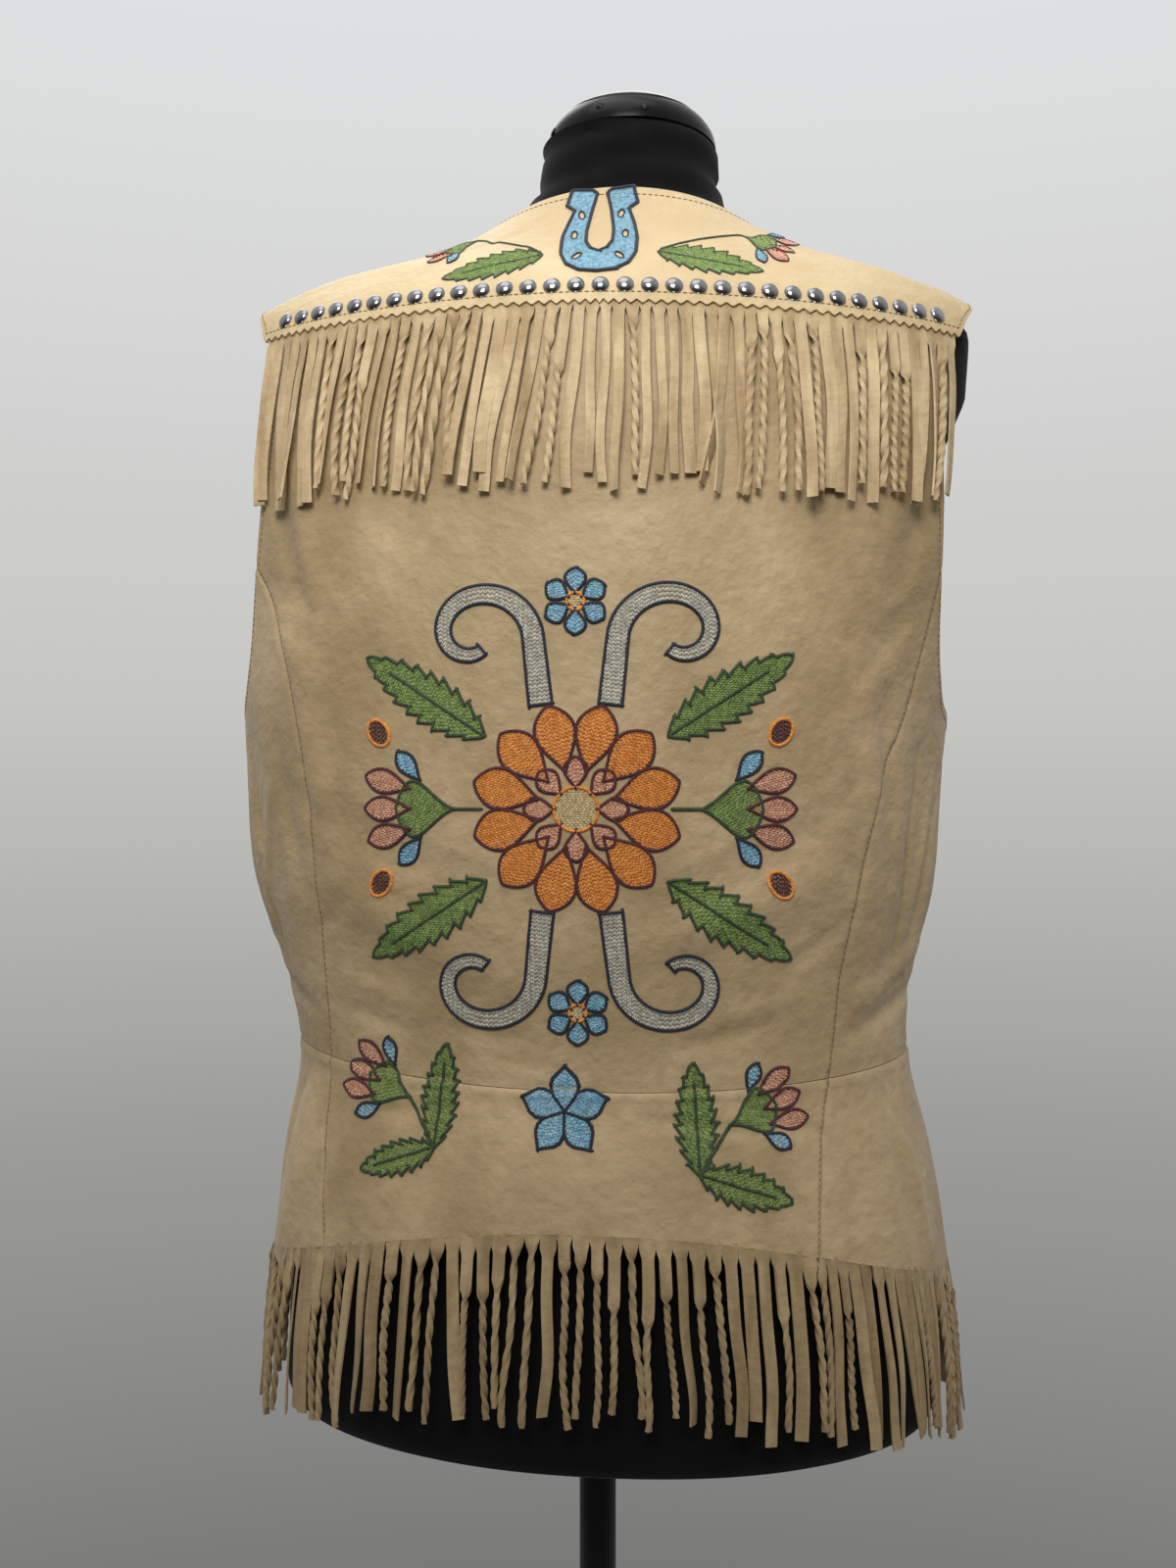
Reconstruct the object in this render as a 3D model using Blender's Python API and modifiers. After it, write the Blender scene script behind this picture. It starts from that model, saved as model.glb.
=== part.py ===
"""Western vest in cream suede leather, seen open at neck, armholes and centre front, on a dress form.

The vest is a wall of leather panels round a smooth dress form. One table of level sections gives
the body that the leather follows. Each panel is a patch of that body, between seams given as
angles at heights, and is thickened inwards. The yoke overlaps the back panel, with the yoke
fringe caught between them. Angles are in degrees from the centre back, positive to the wearer's
left (+X); the wearer faces -Y. Lengths are in metres.
"""

import math
import random

import bmesh
import bpy
import numpy as np
from mathutils import Matrix, Vector

# Driving sizes
LEATHER = 0.0014
SEAM_GAP = 0.0003
SHOULDER_SEAM_GAP = 0.0012
LEAN_ANGLE = math.radians(0.75)
SHOULDER_TIP = 1.197
NECK_SIDE = 1.236
NECK_BACK = 1.247
PRINCESS_TOP = 1.030
SHOULDER_LEVELS = (1.178, 1.188, 1.197, 1.203, 1.210, 1.218, 1.227, 1.236)
NECK_LEVELS = (1.242, 1.248, 1.256, 1.268, 1.280, 1.290)
ROWS_TO_ARMHOLE = 11
SKIRT_ROWS = 4
FRONT_DART_ANGLE = 116.0

YOKE_EDGE = 1.160
YOKE_LIFT = 0.0040
YOKE_LIFT_FULL = 0.009
YOKE_LIFT_END = 0.034
PANEL_UNDER_YOKE = 0.006
BACKING_LAYER = 0.0017
BACKING_THICKNESS = 0.0011
YOKE_BACKING_TOP = 0.005
YOKE_BACKING_DROP = 0.0045

WAIST = 0.747
WAIST_RISE_AT_SIDES = 0.010
HEM_BACK = 0.676
HEM_DROP_AT_SIDES = 0.042

STUD_COUNT = 31
STUD_PITCH = 0.0127
STUD_RADIUS = 0.00475
STUD_HEIGHT = 0.0026
STUD_ROW = 0.0085

YOKE_STRANDS = 60
YOKE_STRAND_LENGTH = 0.094
YOKE_SEED = 31
HEM_STRAND_PITCH = 0.0082
HEM_STRAND_LENGTH = 0.092
HEM_BACKING_HEIGHT = 0.007
HEM_SEED = 200
STRAND_WIDTH = 0.0056
STRAND_THICKNESS = 0.0010
TWISTED_WIDTH = 0.0034
TWISTED_THICKNESS = 0.0018
TWISTED_SHARE = 0.4
STRAND_SEGMENTS = 3

FORM_RIM = 0.546
FORM_NECK_TOP = NECK_LEVELS[-1]
FORM_RIM_ROUNDING = 0.012
NECK_CENTRE = -0.020
NECK_CAP_RADIUS = 0.0515
NECK_CAP_HEIGHT = 0.030
POLE_RADIUS = 0.011
BASE_RADIUS = 0.150
BASE_THICKNESS = 0.009
HUB_RADIUS = 0.030
HUB_HEIGHT = 0.034

# The body that the leather follows: height m, then half width, depth of the back, depth of the
# front and sideways shift in mm, and the squareness of the section (2 is an ellipse)
SECTION_COLUMNS = ("height", "half_width", "back", "front", "squareness", "shift")
SECTIONS = (
    (0.530, 206, 145, 142, 2.15, -7),
    (0.600, 204, 143, 141, 2.15, -7),
    (0.660, 198, 136, 134, 2.15, -6),
    (0.700, 192, 128, 127, 2.15, -5),
    (0.749, 182, 118, 119, 2.15, -3),
    (0.800, 186, 121, 122, 2.15, 2),
    (0.850, 198, 128, 129, 2.15, 4),
    (0.900, 204, 132, 134, 2.15, 4),
    (0.950, 210, 135, 137, 2.10, 3),
    (1.000, 216, 136, 136, 2.05, 0),
    (1.050, 223, 134, 128, 2.00, -3),
    (1.100, 229, 130, 116, 1.90, -6),
    (1.140, 232, 124, 102, 1.80, -8),
    (1.168, 230, 118, 86, 1.75, -9),
    (1.185, 221, 108, 72, 1.75, -10),
    (1.197, 200, 98, 60, 1.80, -12),
    (1.207, 163, 88, 52, 1.85, -16),
    (1.217, 128, 78, 46, 1.90, -18),
    (1.228, 100, 69, 44, 2.00, -17),
    (1.240, 78, 61, 44, 2.00, -16),
    (1.255, 61, 56, 46, 2.00, -18),
    (1.292, 52, 51, 51, 2.00, -20),
)

# Distance in mm from the leather's outer face to the dress form inside it
EASE_COLUMNS = ("height", "ease")
EASE = (
    (0.530, 12.0),
    (0.660, 13.0),
    (0.749, 11.0),
    (0.850, 8.0),
    (0.950, 5.0),
    (1.050, 3.4),
    (1.140, 3.2),
    (1.197, 3.0),
    (1.236, 3.2),
    (1.250, 3.0),
    (1.262, 1.4),
    (1.292, 0.0),
)

# Princess seams of the back: angles of the left and the right seam
PRINCESS_COLUMNS = ("height", "left", "right")
PRINCESS = (
    (0.630, 47.0, 34.0),
    (0.690, 50.5, 37.0),
    (0.722, 53.5, 39.5),
    (0.752, 54.5, 43.5),
    (0.779, 52.5, 46.0),
    (0.806, 50.0, 47.0),
    (0.844, 46.5, 48.0),
    (0.876, 46.0, 49.0),
    (0.918, 46.5, 52.5),
    (0.952, 49.0, 56.5),
    (0.984, 52.0, 59.0),
    (1.012, 56.0, 60.5),
    (1.030, 61.0, 61.0),
)

# Armhole: angles of its back and front edge
ARMHOLE_COLUMNS = ("height", "back", "front")
ARMHOLE = (
    (0.945, 90.0, 90.0),
    (0.952, 79.0, 100.0),
    (0.966, 70.0, 107.5),
    (0.998, 64.0, 113.0),
    (1.030, 61.0, 116.0),
    (1.064, 58.5, 119.0),
    (1.120, 57.0, 120.0),
    (1.160, 59.0, 118.0),
    (1.180, 67.0, 112.0),
    (1.190, 76.0, 104.0),
    (1.197, 89.0, 91.0),
)

# Centre front edge, straight up from the hem and then along the V neck to the shoulder
FRONT_EDGE_COLUMNS = ("height", "angle")
FRONT_EDGE = (
    (0.620, 177.6),
    (0.990, 177.6),
    (1.020, 175.5),
    (1.080, 167.0),
    (1.140, 156.0),
    (1.185, 141.0),
    (1.210, 124.0),
    (1.226, 107.0),
    (1.236, 96.0),
)

# Folds of the leather: angle and height of both ends, then the half width and the rise in mm,
# less than zero for a trough
FOLDS = (
    (-66.0, 0.922, -66.0, 0.800, 30.0, -2.6),
    (-78.0, 0.930, -78.5, 0.790, 32.0, 2.8),
    (67.0, 0.915, 66.0, 0.835, 32.0, -2.0),
    (79.0, 0.925, 78.0, 0.800, 32.0, 2.2),
    (-38.0, 0.700, -39.0, 0.640, 30.0, -2.4),
    (-50.0, 0.715, -53.0, 0.630, 34.0, 3.6),
    (-74.0, 0.700, -77.0, 0.628, 36.0, -2.6),
    (36.0, 0.702, 35.0, 0.655, 34.0, 2.2),
    (62.0, 0.712, 66.0, 0.634, 36.0, 3.0),
    (8.0, 0.700, 9.0, 0.670, 32.0, -1.6),
    (108.0, 0.940, 112.0, 0.815, 36.0, 2.6),
    (127.0, 0.925, 134.0, 0.845, 34.0, -2.4),
    (-109.0, 0.925, -114.0, 0.800, 34.0, 2.4),
    (-131.0, 0.935, -136.0, 0.830, 38.0, -2.2),
    (118.0, 0.712, 121.0, 0.630, 36.0, 3.2),
    (146.0, 0.705, 149.0, 0.630, 34.0, -2.4),
    (-115.0, 0.705, -120.0, 0.630, 34.0, 2.8),
    (-143.0, 0.712, -146.0, 0.630, 36.0, -2.6),
)
ARC_PER_DEGREE = 3.6

SUEDE = ("cream suede leather", (0.66, 0.54, 0.38), 0.85, 0.0)
JERSEY = ("black jersey", (0.012, 0.012, 0.013), 0.95, 0.0)
GLOSS = ("black gloss plastic", (0.010, 0.010, 0.011), 0.12, 0.0)
STEEL = ("polished steel", (0.42, 0.42, 0.43), 0.22, 1.0)
PAINTED = ("black painted steel", (0.015, 0.015, 0.016), 0.35, 0.6)


def interpolated(table, columns, name, height):
    """A column of a table at a height, on a smooth curve through its rows."""
    rows = np.array(table, float)
    xs, ys = rows[:, 0], rows[:, columns.index(name)]
    height = min(max(height, xs[0]), xs[-1])
    low = min(max(int(np.searchsorted(xs, height)) - 1, 0), len(xs) - 2)
    slopes = np.gradient(ys, xs)
    span = xs[low + 1] - xs[low]
    t = (height - xs[low]) / span
    start = (2 * t**3 - 3 * t**2 + 1) * ys[low] + (t**3 - 2 * t**2 + t) * span * slopes[low]
    end = (3 * t**2 - 2 * t**3) * ys[low + 1] + (t**3 - t**2) * span * slopes[low + 1]
    return float(start + end)


def straight(table, columns, name, height):
    """A column of a table at a height, on straight lines between its rows."""
    rows = np.array(table, float)
    return float(np.interp(height, rows[:, 0], rows[:, columns.index(name)]))


def section(name, height):
    """One size of the body's level section at a height, in mm or as a plain number."""
    return interpolated(SECTIONS, SECTION_COLUMNS, name, height)


def signed_power(value, power):
    return math.copysign(abs(value) ** power, value)


def on_body(angle, height):
    """A point of the leather's outer face at an angle from the centre back and a height."""
    turn = math.radians(angle)
    power = 2 / section("squareness", height)
    across = section("half_width", height) * signed_power(math.sin(turn), power) / 1000
    depth = section("back" if math.cos(turn) > 0 else "front", height)
    along = depth * signed_power(math.cos(turn), power) / 1000
    lift = math.tan(LEAN_ANGLE) * across
    return Vector((across + section("shift", height) / 1000, along, height + lift))


def outward(angle, height):
    """The body's unit normal."""
    step_angle, step_height = 1.0, 0.002
    low = min(height, FORM_NECK_TOP - step_height)
    round_body = on_body(angle + step_angle, low) - on_body(angle - step_angle, low)
    up_body = on_body(angle, low + step_height) - on_body(angle, low - step_height)
    return up_body.cross(round_body).normalized()


def off_body(angle, height, distance):
    return on_body(angle, height) + outward(angle, height) * distance


def fold_at(angle, height):
    """How far the folds carry the leather outwards at a point."""
    rise = 0.0
    for start_angle, start_height, end_angle, end_height, reach, depth in FOLDS:
        across, up = (angle - start_angle) * ARC_PER_DEGREE, (height - start_height) * 1000
        run = (end_angle - start_angle) * ARC_PER_DEGREE, (end_height - start_height) * 1000
        share = (across * run[0] + up * run[1]) / (run[0] ** 2 + run[1] ** 2)
        share = min(max(share, 0.0), 1.0)
        away = math.hypot(across - share * run[0], up - share * run[1]) / reach
        rise += depth * max(0.0, 1 - away**2) ** 2
    return rise / 1000


def on_leather(angle, height, distance=0.0):
    """A point at a distance from the folded leather's outer face."""
    return off_body(angle, height, distance + fold_at(angle, height))


def gap_angle(angle, height, gap=SEAM_GAP / 2):
    """The angle that a gap takes up along the level section."""
    speed = (on_body(angle + 0.5, height) - on_body(angle - 0.5, height)).length
    return gap / speed


def smooth_step(value, start, end):
    t = min(max((value - start) / (end - start), 0.0), 1.0)
    return t * t * (3 - 2 * t)


def waist_at(angle):
    return WAIST + WAIST_RISE_AT_SIDES * math.sin(math.radians(angle)) ** 2


def hem_at(angle):
    if abs(angle) > 90:
        return HEM_BACK - HEM_DROP_AT_SIDES
    return HEM_BACK - HEM_DROP_AT_SIDES * math.sin(math.radians(angle)) ** 2


def princess_at(side, height):
    name = "left" if side > 0 else "right"
    return side * interpolated(PRINCESS, PRINCESS_COLUMNS, name, height)


def armhole_at(edge, height):
    return straight(ARMHOLE, ARMHOLE_COLUMNS, edge, height)


def underarm_at(edge, angle):
    """The height of the armhole's lower curve at an angle without sign."""
    rows = [row for row in ARMHOLE if row[0] <= PRINCESS_TOP]
    column = ARMHOLE_COLUMNS.index(edge)
    pairs = sorted((row[column], row[0]) for row in rows)
    return float(np.interp(abs(angle), [p[0] for p in pairs], [p[1] for p in pairs]))


def front_edge_at(height):
    return min(interpolated(FRONT_EDGE, FRONT_EDGE_COLUMNS, "angle", height), FRONT_EDGE[0][1])


def yoke_side_at(height):
    """The yoke's end: the armhole's back edge, then the shoulder seam."""
    if height >= SHOULDER_TIP:
        return 90.0
    return armhole_at("back", height)


def neckline_at(share):
    """The back neckline's height; share runs from -1 to 1 between the shoulder seams."""
    return NECK_BACK - (NECK_BACK - NECK_SIDE) * abs(share) ** 2.2


def yoke_lift_at(height):
    """How far the yoke stands off the body where it laps over its fringe."""
    return YOKE_LIFT * (1 - smooth_step(height - YOKE_EDGE, YOKE_LIFT_FULL, YOKE_LIFT_END))


def material_of(finish):
    name, colour, roughness, metallic = finish
    material = bpy.data.materials.get(name)
    if material:
        return material
    material = bpy.data.materials.new(name)
    material.use_nodes = True
    shader = material.node_tree.nodes["Principled BSDF"]
    shader.inputs["Base Color"].default_value = (*colour, 1.0)
    shader.inputs["Roughness"].default_value = roughness
    shader.inputs["Metallic"].default_value = metallic
    material.diffuse_color = (*colour, 1.0)
    return material


def add_object(name, bm, finish, collection):
    mesh = bpy.data.meshes.new(name)
    bm.to_mesh(mesh)
    bm.free()
    mesh.materials.append(material_of(finish))
    mesh.shade_smooth()
    mesh.set_sharp_from_angle(angle=math.radians(40))
    made = bpy.data.objects.new(name, mesh)
    collection.objects.link(made)
    return made


def grid_faces(bm, points):
    """Quads over a grid of points, rows upwards and columns round the body."""
    verts = [[bm.verts.new(point) for point in row] for row in points]
    for low, high in zip(verts, verts[1:]):
        for index in range(len(low) - 1):
            corners = (low[index], high[index], high[index + 1], low[index + 1])
            bm.faces.new(corners)
    return verts


def column_ends(left, right, level, share):
    """Angle and height where a column of a patch meets a curve given as height by angle."""
    height = level(0.5 * (left(WAIST) + right(WAIST)))
    for _ in range(8):
        angle = left(height) + (right(height) - left(height)) * share
        height = level(angle)
    return height


def patch(left, right, bottom, top, columns, rows, seam_gap=SEAM_GAP):
    """Points of a panel: left and right give angles by height, bottom and top heights by angle."""
    points = [[] for _ in range(rows + 1)]
    for column in range(columns + 1):
        share = column / columns
        low = column_ends(left, right, bottom, share) + SEAM_GAP / 2
        high = column_ends(left, right, top, share) - seam_gap / 2
        for row in range(rows + 1):
            height = low + (high - low) * row / rows
            start, end = left(height), right(height)
            start += gap_angle(start, height)
            end -= gap_angle(end, height)
            angle = start + (end - start) * share
            points[row].append(on_leather(angle, height))
    return points


def solidified(made, thickness=LEATHER):
    wall = made.modifiers.new("leather", "SOLIDIFY")
    wall.thickness = thickness
    wall.offset = -1.0
    wall.use_even_offset = True
    return made


def panel(name, patches, collection):
    """A leather panel of one or more patches that share an edge."""
    bm = bmesh.new()
    for points in patches:
        grid_faces(bm, points)
    bmesh.ops.remove_doubles(bm, verts=bm.verts, dist=0.00005)
    bmesh.ops.recalc_face_normals(bm, faces=bm.faces)
    turn_outward(bm)
    return solidified(add_object(name, bm, SUEDE, collection))


def turn_outward(bm):
    """Faces of an open patch point away from the body's axis."""
    bm.normal_update()
    facing = sum(face.normal.dot(face.calc_center_median() * Vector((1, 1, 0))) for face in bm.faces)
    if facing < 0:
        bmesh.ops.reverse_faces(bm, faces=bm.faces)


def build_back(collection):
    """Centre back above the waist, its edges along the princess seams and then the armholes."""

    def princess(side):
        return lambda height: princess_at(side, height)

    def armhole(side):
        return lambda height: side * armhole_at("back", height)

    def seam_end(angle):
        return PRINCESS_TOP

    def under_yoke(angle):
        return YOKE_EDGE + PANEL_UNDER_YOKE

    columns = 14
    seams = (princess(-1), princess(1))
    below = patch(*seams, waist_at, seam_end, columns, ROWS_TO_ARMHOLE, seam_gap=0.0)
    above = upper_back(armhole(-1), armhole(1), under_yoke, columns, 6)
    panel("back_centre", [below, above], collection)
    skirt = patch(*seams, hem_at, waist_at, columns, SKIRT_ROWS)
    panel("skirt_back", [skirt], collection)


def upper_back(left, right, top, columns, rows):
    """The centre back between the armholes, from the princess seams' ends to under the yoke."""
    points = []
    for row in range(rows + 1):
        height = PRINCESS_TOP + (top(0.0) - PRINCESS_TOP) * row / rows
        start, end = left(height), right(height)
        start += gap_angle(start, height)
        end -= gap_angle(end, height)
        angles = np.linspace(start, end, columns + 1)
        points.append([on_leather(float(angle), height) for angle in angles])
    return points


def build_sides(side, word, collection):
    """Side back, from princess seam to side seam, above and below the waist."""

    def ordered(first, second):
        return (first, second) if side > 0 else (second, first)

    def seam(height):
        return princess_at(side, height)

    def side_seam(height):
        return side * 90.0

    left, right = ordered(seam, side_seam)

    def armhole(angle):
        return underarm_at("back", angle)

    body = patch(left, right, waist_at, armhole, 6, ROWS_TO_ARMHOLE)
    panel("back_side_" + word, [body], collection)
    skirt = patch(left, right, hem_at, waist_at, 7, SKIRT_ROWS)
    panel("skirt_side_" + word, [skirt], collection)


def build_fronts(side, word, collection):
    """Front, from side seam to centre front and up to the shoulder seam."""

    def ordered(first, second):
        return (first, second) if side > 0 else (second, first)

    def side_seam(height):
        return side * 90.0

    def dart_line(height):
        return side * FRONT_DART_ANGLE

    def inner_line(height):
        if height < PRINCESS_TOP:
            return side * FRONT_DART_ANGLE
        if height < SHOULDER_TIP:
            return side * armhole_at("front", height)
        return side * 90.0

    def centre_front(height):
        return side * front_edge_at(height)

    below = front_patch(*ordered(side_seam, dart_line), side, 4, to_armhole=True)
    beside = front_patch(*ordered(dart_line, centre_front), side, 7, to_armhole=False)
    above = upper_front(inner_line, centre_front, side, 7)
    panel("front_" + word, [below, beside, above], collection)
    skirt = patch(*ordered(side_seam, centre_front), hem_at, waist_at, 11, SKIRT_ROWS)
    panel("skirt_front_" + word, [skirt], collection)


def front_patch(left, right, side, columns, to_armhole):
    """The front from the waist to the armhole's curve, or to the height where that curve ends."""
    points = []
    for row in range(ROWS_TO_ARMHOLE + 1):
        line = []
        for column in range(columns + 1):
            share = column / columns
            angle = left(WAIST) + (right(WAIST) - left(WAIST)) * share
            low = waist_at(angle) + SEAM_GAP / 2
            high = underarm_at("front", angle) if to_armhole else PRINCESS_TOP
            height = low + (high - low) * row / ROWS_TO_ARMHOLE
            start, end = left(height), right(height)
            if to_armhole and side > 0:
                start += gap_angle(start, height)
            if to_armhole and side < 0:
                end -= gap_angle(end, height)
            line.append(on_leather(start + (end - start) * share, height))
        points.append(line)
    return points


def levels_up_to_shoulder(start, count):
    """Heights from a start up to the shoulder, and on along the shoulder seam."""
    below = np.linspace(start, SHOULDER_LEVELS[0], count, endpoint=False)
    return [float(height) for height in below] + list(SHOULDER_LEVELS)


def upper_front(inner, outer, side, columns):
    """The front beside the armhole and over the shoulder."""
    points = []
    for height in levels_up_to_shoulder(PRINCESS_TOP, 6):
        line = []
        for column in range(columns + 1):
            share = column / columns
            start, end = inner(height), outer(height)
            if height >= SHOULDER_TIP:
                start += side * gap_angle(start, height, SHOULDER_SEAM_GAP / 2)
            line.append(on_leather(start + (end - start) * share, height))
        points.append(line if side > 0 else line[::-1])
    return points


def build_yoke(collection):
    columns = 28
    points = []
    for level in levels_up_to_shoulder(YOKE_EDGE, 2):
        share_up = (level - YOKE_EDGE) / (NECK_SIDE - YOKE_EDGE)
        line = []
        for column in range(columns + 1):
            share = 2 * column / columns - 1
            height = YOKE_EDGE + (neckline_at(share) - YOKE_EDGE) * share_up
            end = yoke_side_at(level)
            end -= gap_angle(end, level, SHOULDER_SEAM_GAP / 2)
            line.append(off_body(share * end, height, yoke_lift_at(height)))
        points.append(line)
    panel("back_yoke", [points], collection)


def strand_rings(angle, root, out, settings):
    """Corners of a strand's sections below its root, down a path that hangs along the body."""
    length, width, thickness, turns, drift, swing = settings
    path = []
    for index in range(STRAND_SEGMENTS + 1):
        share = index / STRAND_SEGMENTS
        around = angle + drift * share**1.5 * gap_angle(angle, root, 1.0)
        lift = out + swing * math.sin(0.7 * math.pi * share) + fold_at(angle, root)
        path.append(off_body(around, root - length * share, lift))
    across = on_body(angle + 1, root) - on_body(angle - 1, root)
    rings = []
    for index in range(1, len(path)):
        along = (path[index - 1] - path[index]).normalized()
        side = (across - along * across.dot(along)).normalized()
        side = Matrix.Rotation(turns * math.tau * index / STRAND_SEGMENTS, 3, along) @ side
        face = along.cross(side)
        corners = ((-1, 1), (1, 1), (1, -1), (-1, -1))
        ring = [path[index] + side * (width / 2 * u) + face * (thickness / 2 * v) for u, v in corners]
        rings.append(ring)
    return rings


def strand_settings(dice, length):
    """Length, width, thickness, turns, sideways drift and outward swing of one strand."""
    drift = dice.uniform(-0.0007, 0.0007)
    if dice.random() < TWISTED_SHARE:
        turns, swing = dice.uniform(0.3, 0.6), dice.uniform(0.0013, 0.0030)
        return length, TWISTED_WIDTH, TWISTED_THICKNESS, turns, drift, swing
    turns, swing = dice.uniform(-0.03, 0.03), dice.uniform(0.0003, 0.0014)
    return length, STRAND_WIDTH, STRAND_THICKNESS, turns, drift, swing


def fringe(name, angles, ends, edge, height, out, lengths, seed, collection):
    """A narrow backing strip with a strand hanging from it at each angle.

    ends are the strip's first and last angle, edge gives the height of its top by angle, and out
    is how far its outer face stands off the body.
    """
    dice = random.Random(seed)
    columns = [ends[0]]
    for angle in angles:
        half = gap_angle(angle, edge(angle), STRAND_WIDTH / 2)
        columns += [angle - half, angle + half]
    columns.append(ends[1])
    bm = bmesh.new()
    rows = []
    for drop, distance in ((height, out), (0.0, out), (0.0, out - BACKING_THICKNESS)):
        rows.append([bm.verts.new(on_leather(a, edge(a) - drop, distance)) for a in columns])
    inner = out - BACKING_THICKNESS
    rows.append([bm.verts.new(on_leather(a, edge(a) - height, inner)) for a in columns])
    for first, second in ((0, 1), (1, 2), (2, 3)):
        strip_faces(bm, rows[first], rows[second])
    for column in range(len(columns) - 1):
        ring = [rows[0][column], rows[0][column + 1], rows[3][column + 1], rows[3][column]]
        if column % 2 == 0:
            bm.faces.new(ring)
            continue
        angle = angles[column // 2]
        length = lengths + dice.uniform(-0.05, 0.05) * lengths
        middle = out - BACKING_THICKNESS / 2
        for points in strand_rings(angle, edge(angle) - height, middle, strand_settings(dice, length)):
            after = [bm.verts.new(point) for point in points]
            axis = sum((vert.co for vert in ring + after), Vector()) / 8
            for corner in range(4):
                beside = (corner + 1) % 4
                twisted_side(bm, (ring[corner], ring[beside], after[beside], after[corner]), axis)
            ring = after
        bm.faces.new(ring)
    for column in (0, -1):
        bm.faces.new([row[column] for row in rows])
    bmesh.ops.recalc_face_normals(bm, faces=bm.faces)
    if bm.calc_volume(signed=True) < 0:
        bmesh.ops.reverse_faces(bm, faces=bm.faces)
    return add_object(name, bm, SUEDE, collection)


def twisted_side(bm, corners, axis):
    """A twisted side of a strand as two triangles, parted along the diagonal farther from its axis."""
    a, b, c, d = corners
    if ((a.co + c.co) / 2 - axis).length < ((b.co + d.co) / 2 - axis).length:
        a, b, c, d = b, c, d, a
    bm.faces.new((a, b, c))
    bm.faces.new((a, c, d))


def strip_faces(bm, low, high):
    for index in range(len(low) - 1):
        bm.faces.new((low[index], low[index + 1], high[index + 1], high[index]))


def build_yoke_fringe(collection):
    """The fringe caught between the yoke's edge and the back panel."""
    reach = armhole_at("back", YOKE_EDGE) - 1.0
    angles = spaced_angles(-reach + 1.2, reach - 1.2, YOKE_EDGE, YOKE_STRANDS)
    top = YOKE_EDGE + YOKE_BACKING_TOP
    height = YOKE_BACKING_TOP + YOKE_BACKING_DROP
    fringe(
        "yoke_fringe",
        angles,
        (-reach, reach),
        lambda angle: top,
        height,
        BACKING_LAYER,
        YOKE_STRAND_LENGTH,
        YOKE_SEED,
        collection,
    )


def spaced_angles(start, end, height, count):
    """Angles of points spaced evenly along the level section."""
    angles = np.linspace(start, end, 240)
    points = [on_body(float(angle), height) for angle in angles]
    steps = [(b - a).length for a, b in zip(points, points[1:])]
    run = np.concatenate([[0.0], np.cumsum(steps)])
    return [float(v) for v in np.interp(np.linspace(0, run[-1], count), run, angles)]


def build_hem_fringe(collection):
    """The panels' lower edges, cut into strands, a strip for each panel."""
    low = HEM_BACK - HEM_DROP_AT_SIDES
    left, right = princess_at(1, low), princess_at(-1, low)
    front = front_edge_at(low)
    stretches = (
        ("hem_fringe_back", right, left),
        ("hem_fringe_side_left", left, 90.0),
        ("hem_fringe_side_right", -90.0, right),
        ("hem_fringe_front_left", 90.0, front),
        ("hem_fringe_front_right", -front, -90.0),
    )
    for number, (name, start, end) in enumerate(stretches):
        middle = hem_at(0.5 * (start + end))
        start += gap_angle(start, middle)
        end -= gap_angle(end, middle)
        count = round(section_length(start, end, middle) / HEM_STRAND_PITCH)
        first = start + gap_angle(start, middle, HEM_STRAND_PITCH / 2)
        last = end - gap_angle(end, middle, HEM_STRAND_PITCH / 2)
        angles = spaced_angles(first, last, middle, count)
        fringe(
            name,
            angles,
            (start, end),
            lambda angle: hem_at(angle) - SEAM_GAP,
            HEM_BACKING_HEIGHT,
            0.0,
            HEM_STRAND_LENGTH,
            HEM_SEED + number,
            collection,
        )


def section_length(start, end, height):
    points = [on_body(float(angle), height) for angle in np.linspace(start, end, 60)]
    return sum((b - a).length for a, b in zip(points, points[1:]))


def stud_mesh():
    """A dome with a flat underside, its base at the origin."""
    bm = bmesh.new()
    bmesh.ops.create_uvsphere(bm, u_segments=8, v_segments=6, radius=STUD_RADIUS)
    everything = bm.verts[:] + bm.edges[:] + bm.faces[:]
    cut = bmesh.ops.bisect_plane(
        bm, geom=everything, plane_co=(0, 0, 0), plane_no=(0, 0, -1), clear_outer=True
    )
    rim = [item for item in cut["geom_cut"] if isinstance(item, bmesh.types.BMEdge)]
    bmesh.ops.contextual_create(bm, geom=rim)
    bmesh.ops.scale(bm, vec=(1, 1, STUD_HEIGHT / STUD_RADIUS), verts=bm.verts)
    bmesh.ops.recalc_face_normals(bm, faces=bm.faces)
    mesh = bpy.data.meshes.new("dome stud")
    bm.to_mesh(mesh)
    bm.free()
    mesh.shade_smooth()
    mesh.materials.append(material_of(STEEL))
    return mesh


def build_studs(collection):
    """The row of domes above the yoke's edge, evenly spaced along the leather."""
    height = YOKE_EDGE + STUD_ROW
    mesh = stud_mesh()
    reach = section_length(0.0, 80.0, height)
    run = spaced_angles(0.0, 80.0, height, 400)
    for number in range(STUD_COUNT):
        place = (STUD_COUNT - 1) / 2 - number
        share = abs(place) * STUD_PITCH / reach
        angle = math.copysign(run[min(round(share * 399), 399)], place) if place else 0.0
        made = bpy.data.objects.new(f"yoke_stud_{number + 1:02d}", mesh)
        made.location = off_body(angle, height, yoke_lift_at(height) + SEAM_GAP)
        made.rotation_mode = "QUATERNION"
        made.rotation_quaternion = outward(angle, height).to_track_quat("Z", "Y")
        collection.objects.link(made)


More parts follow.
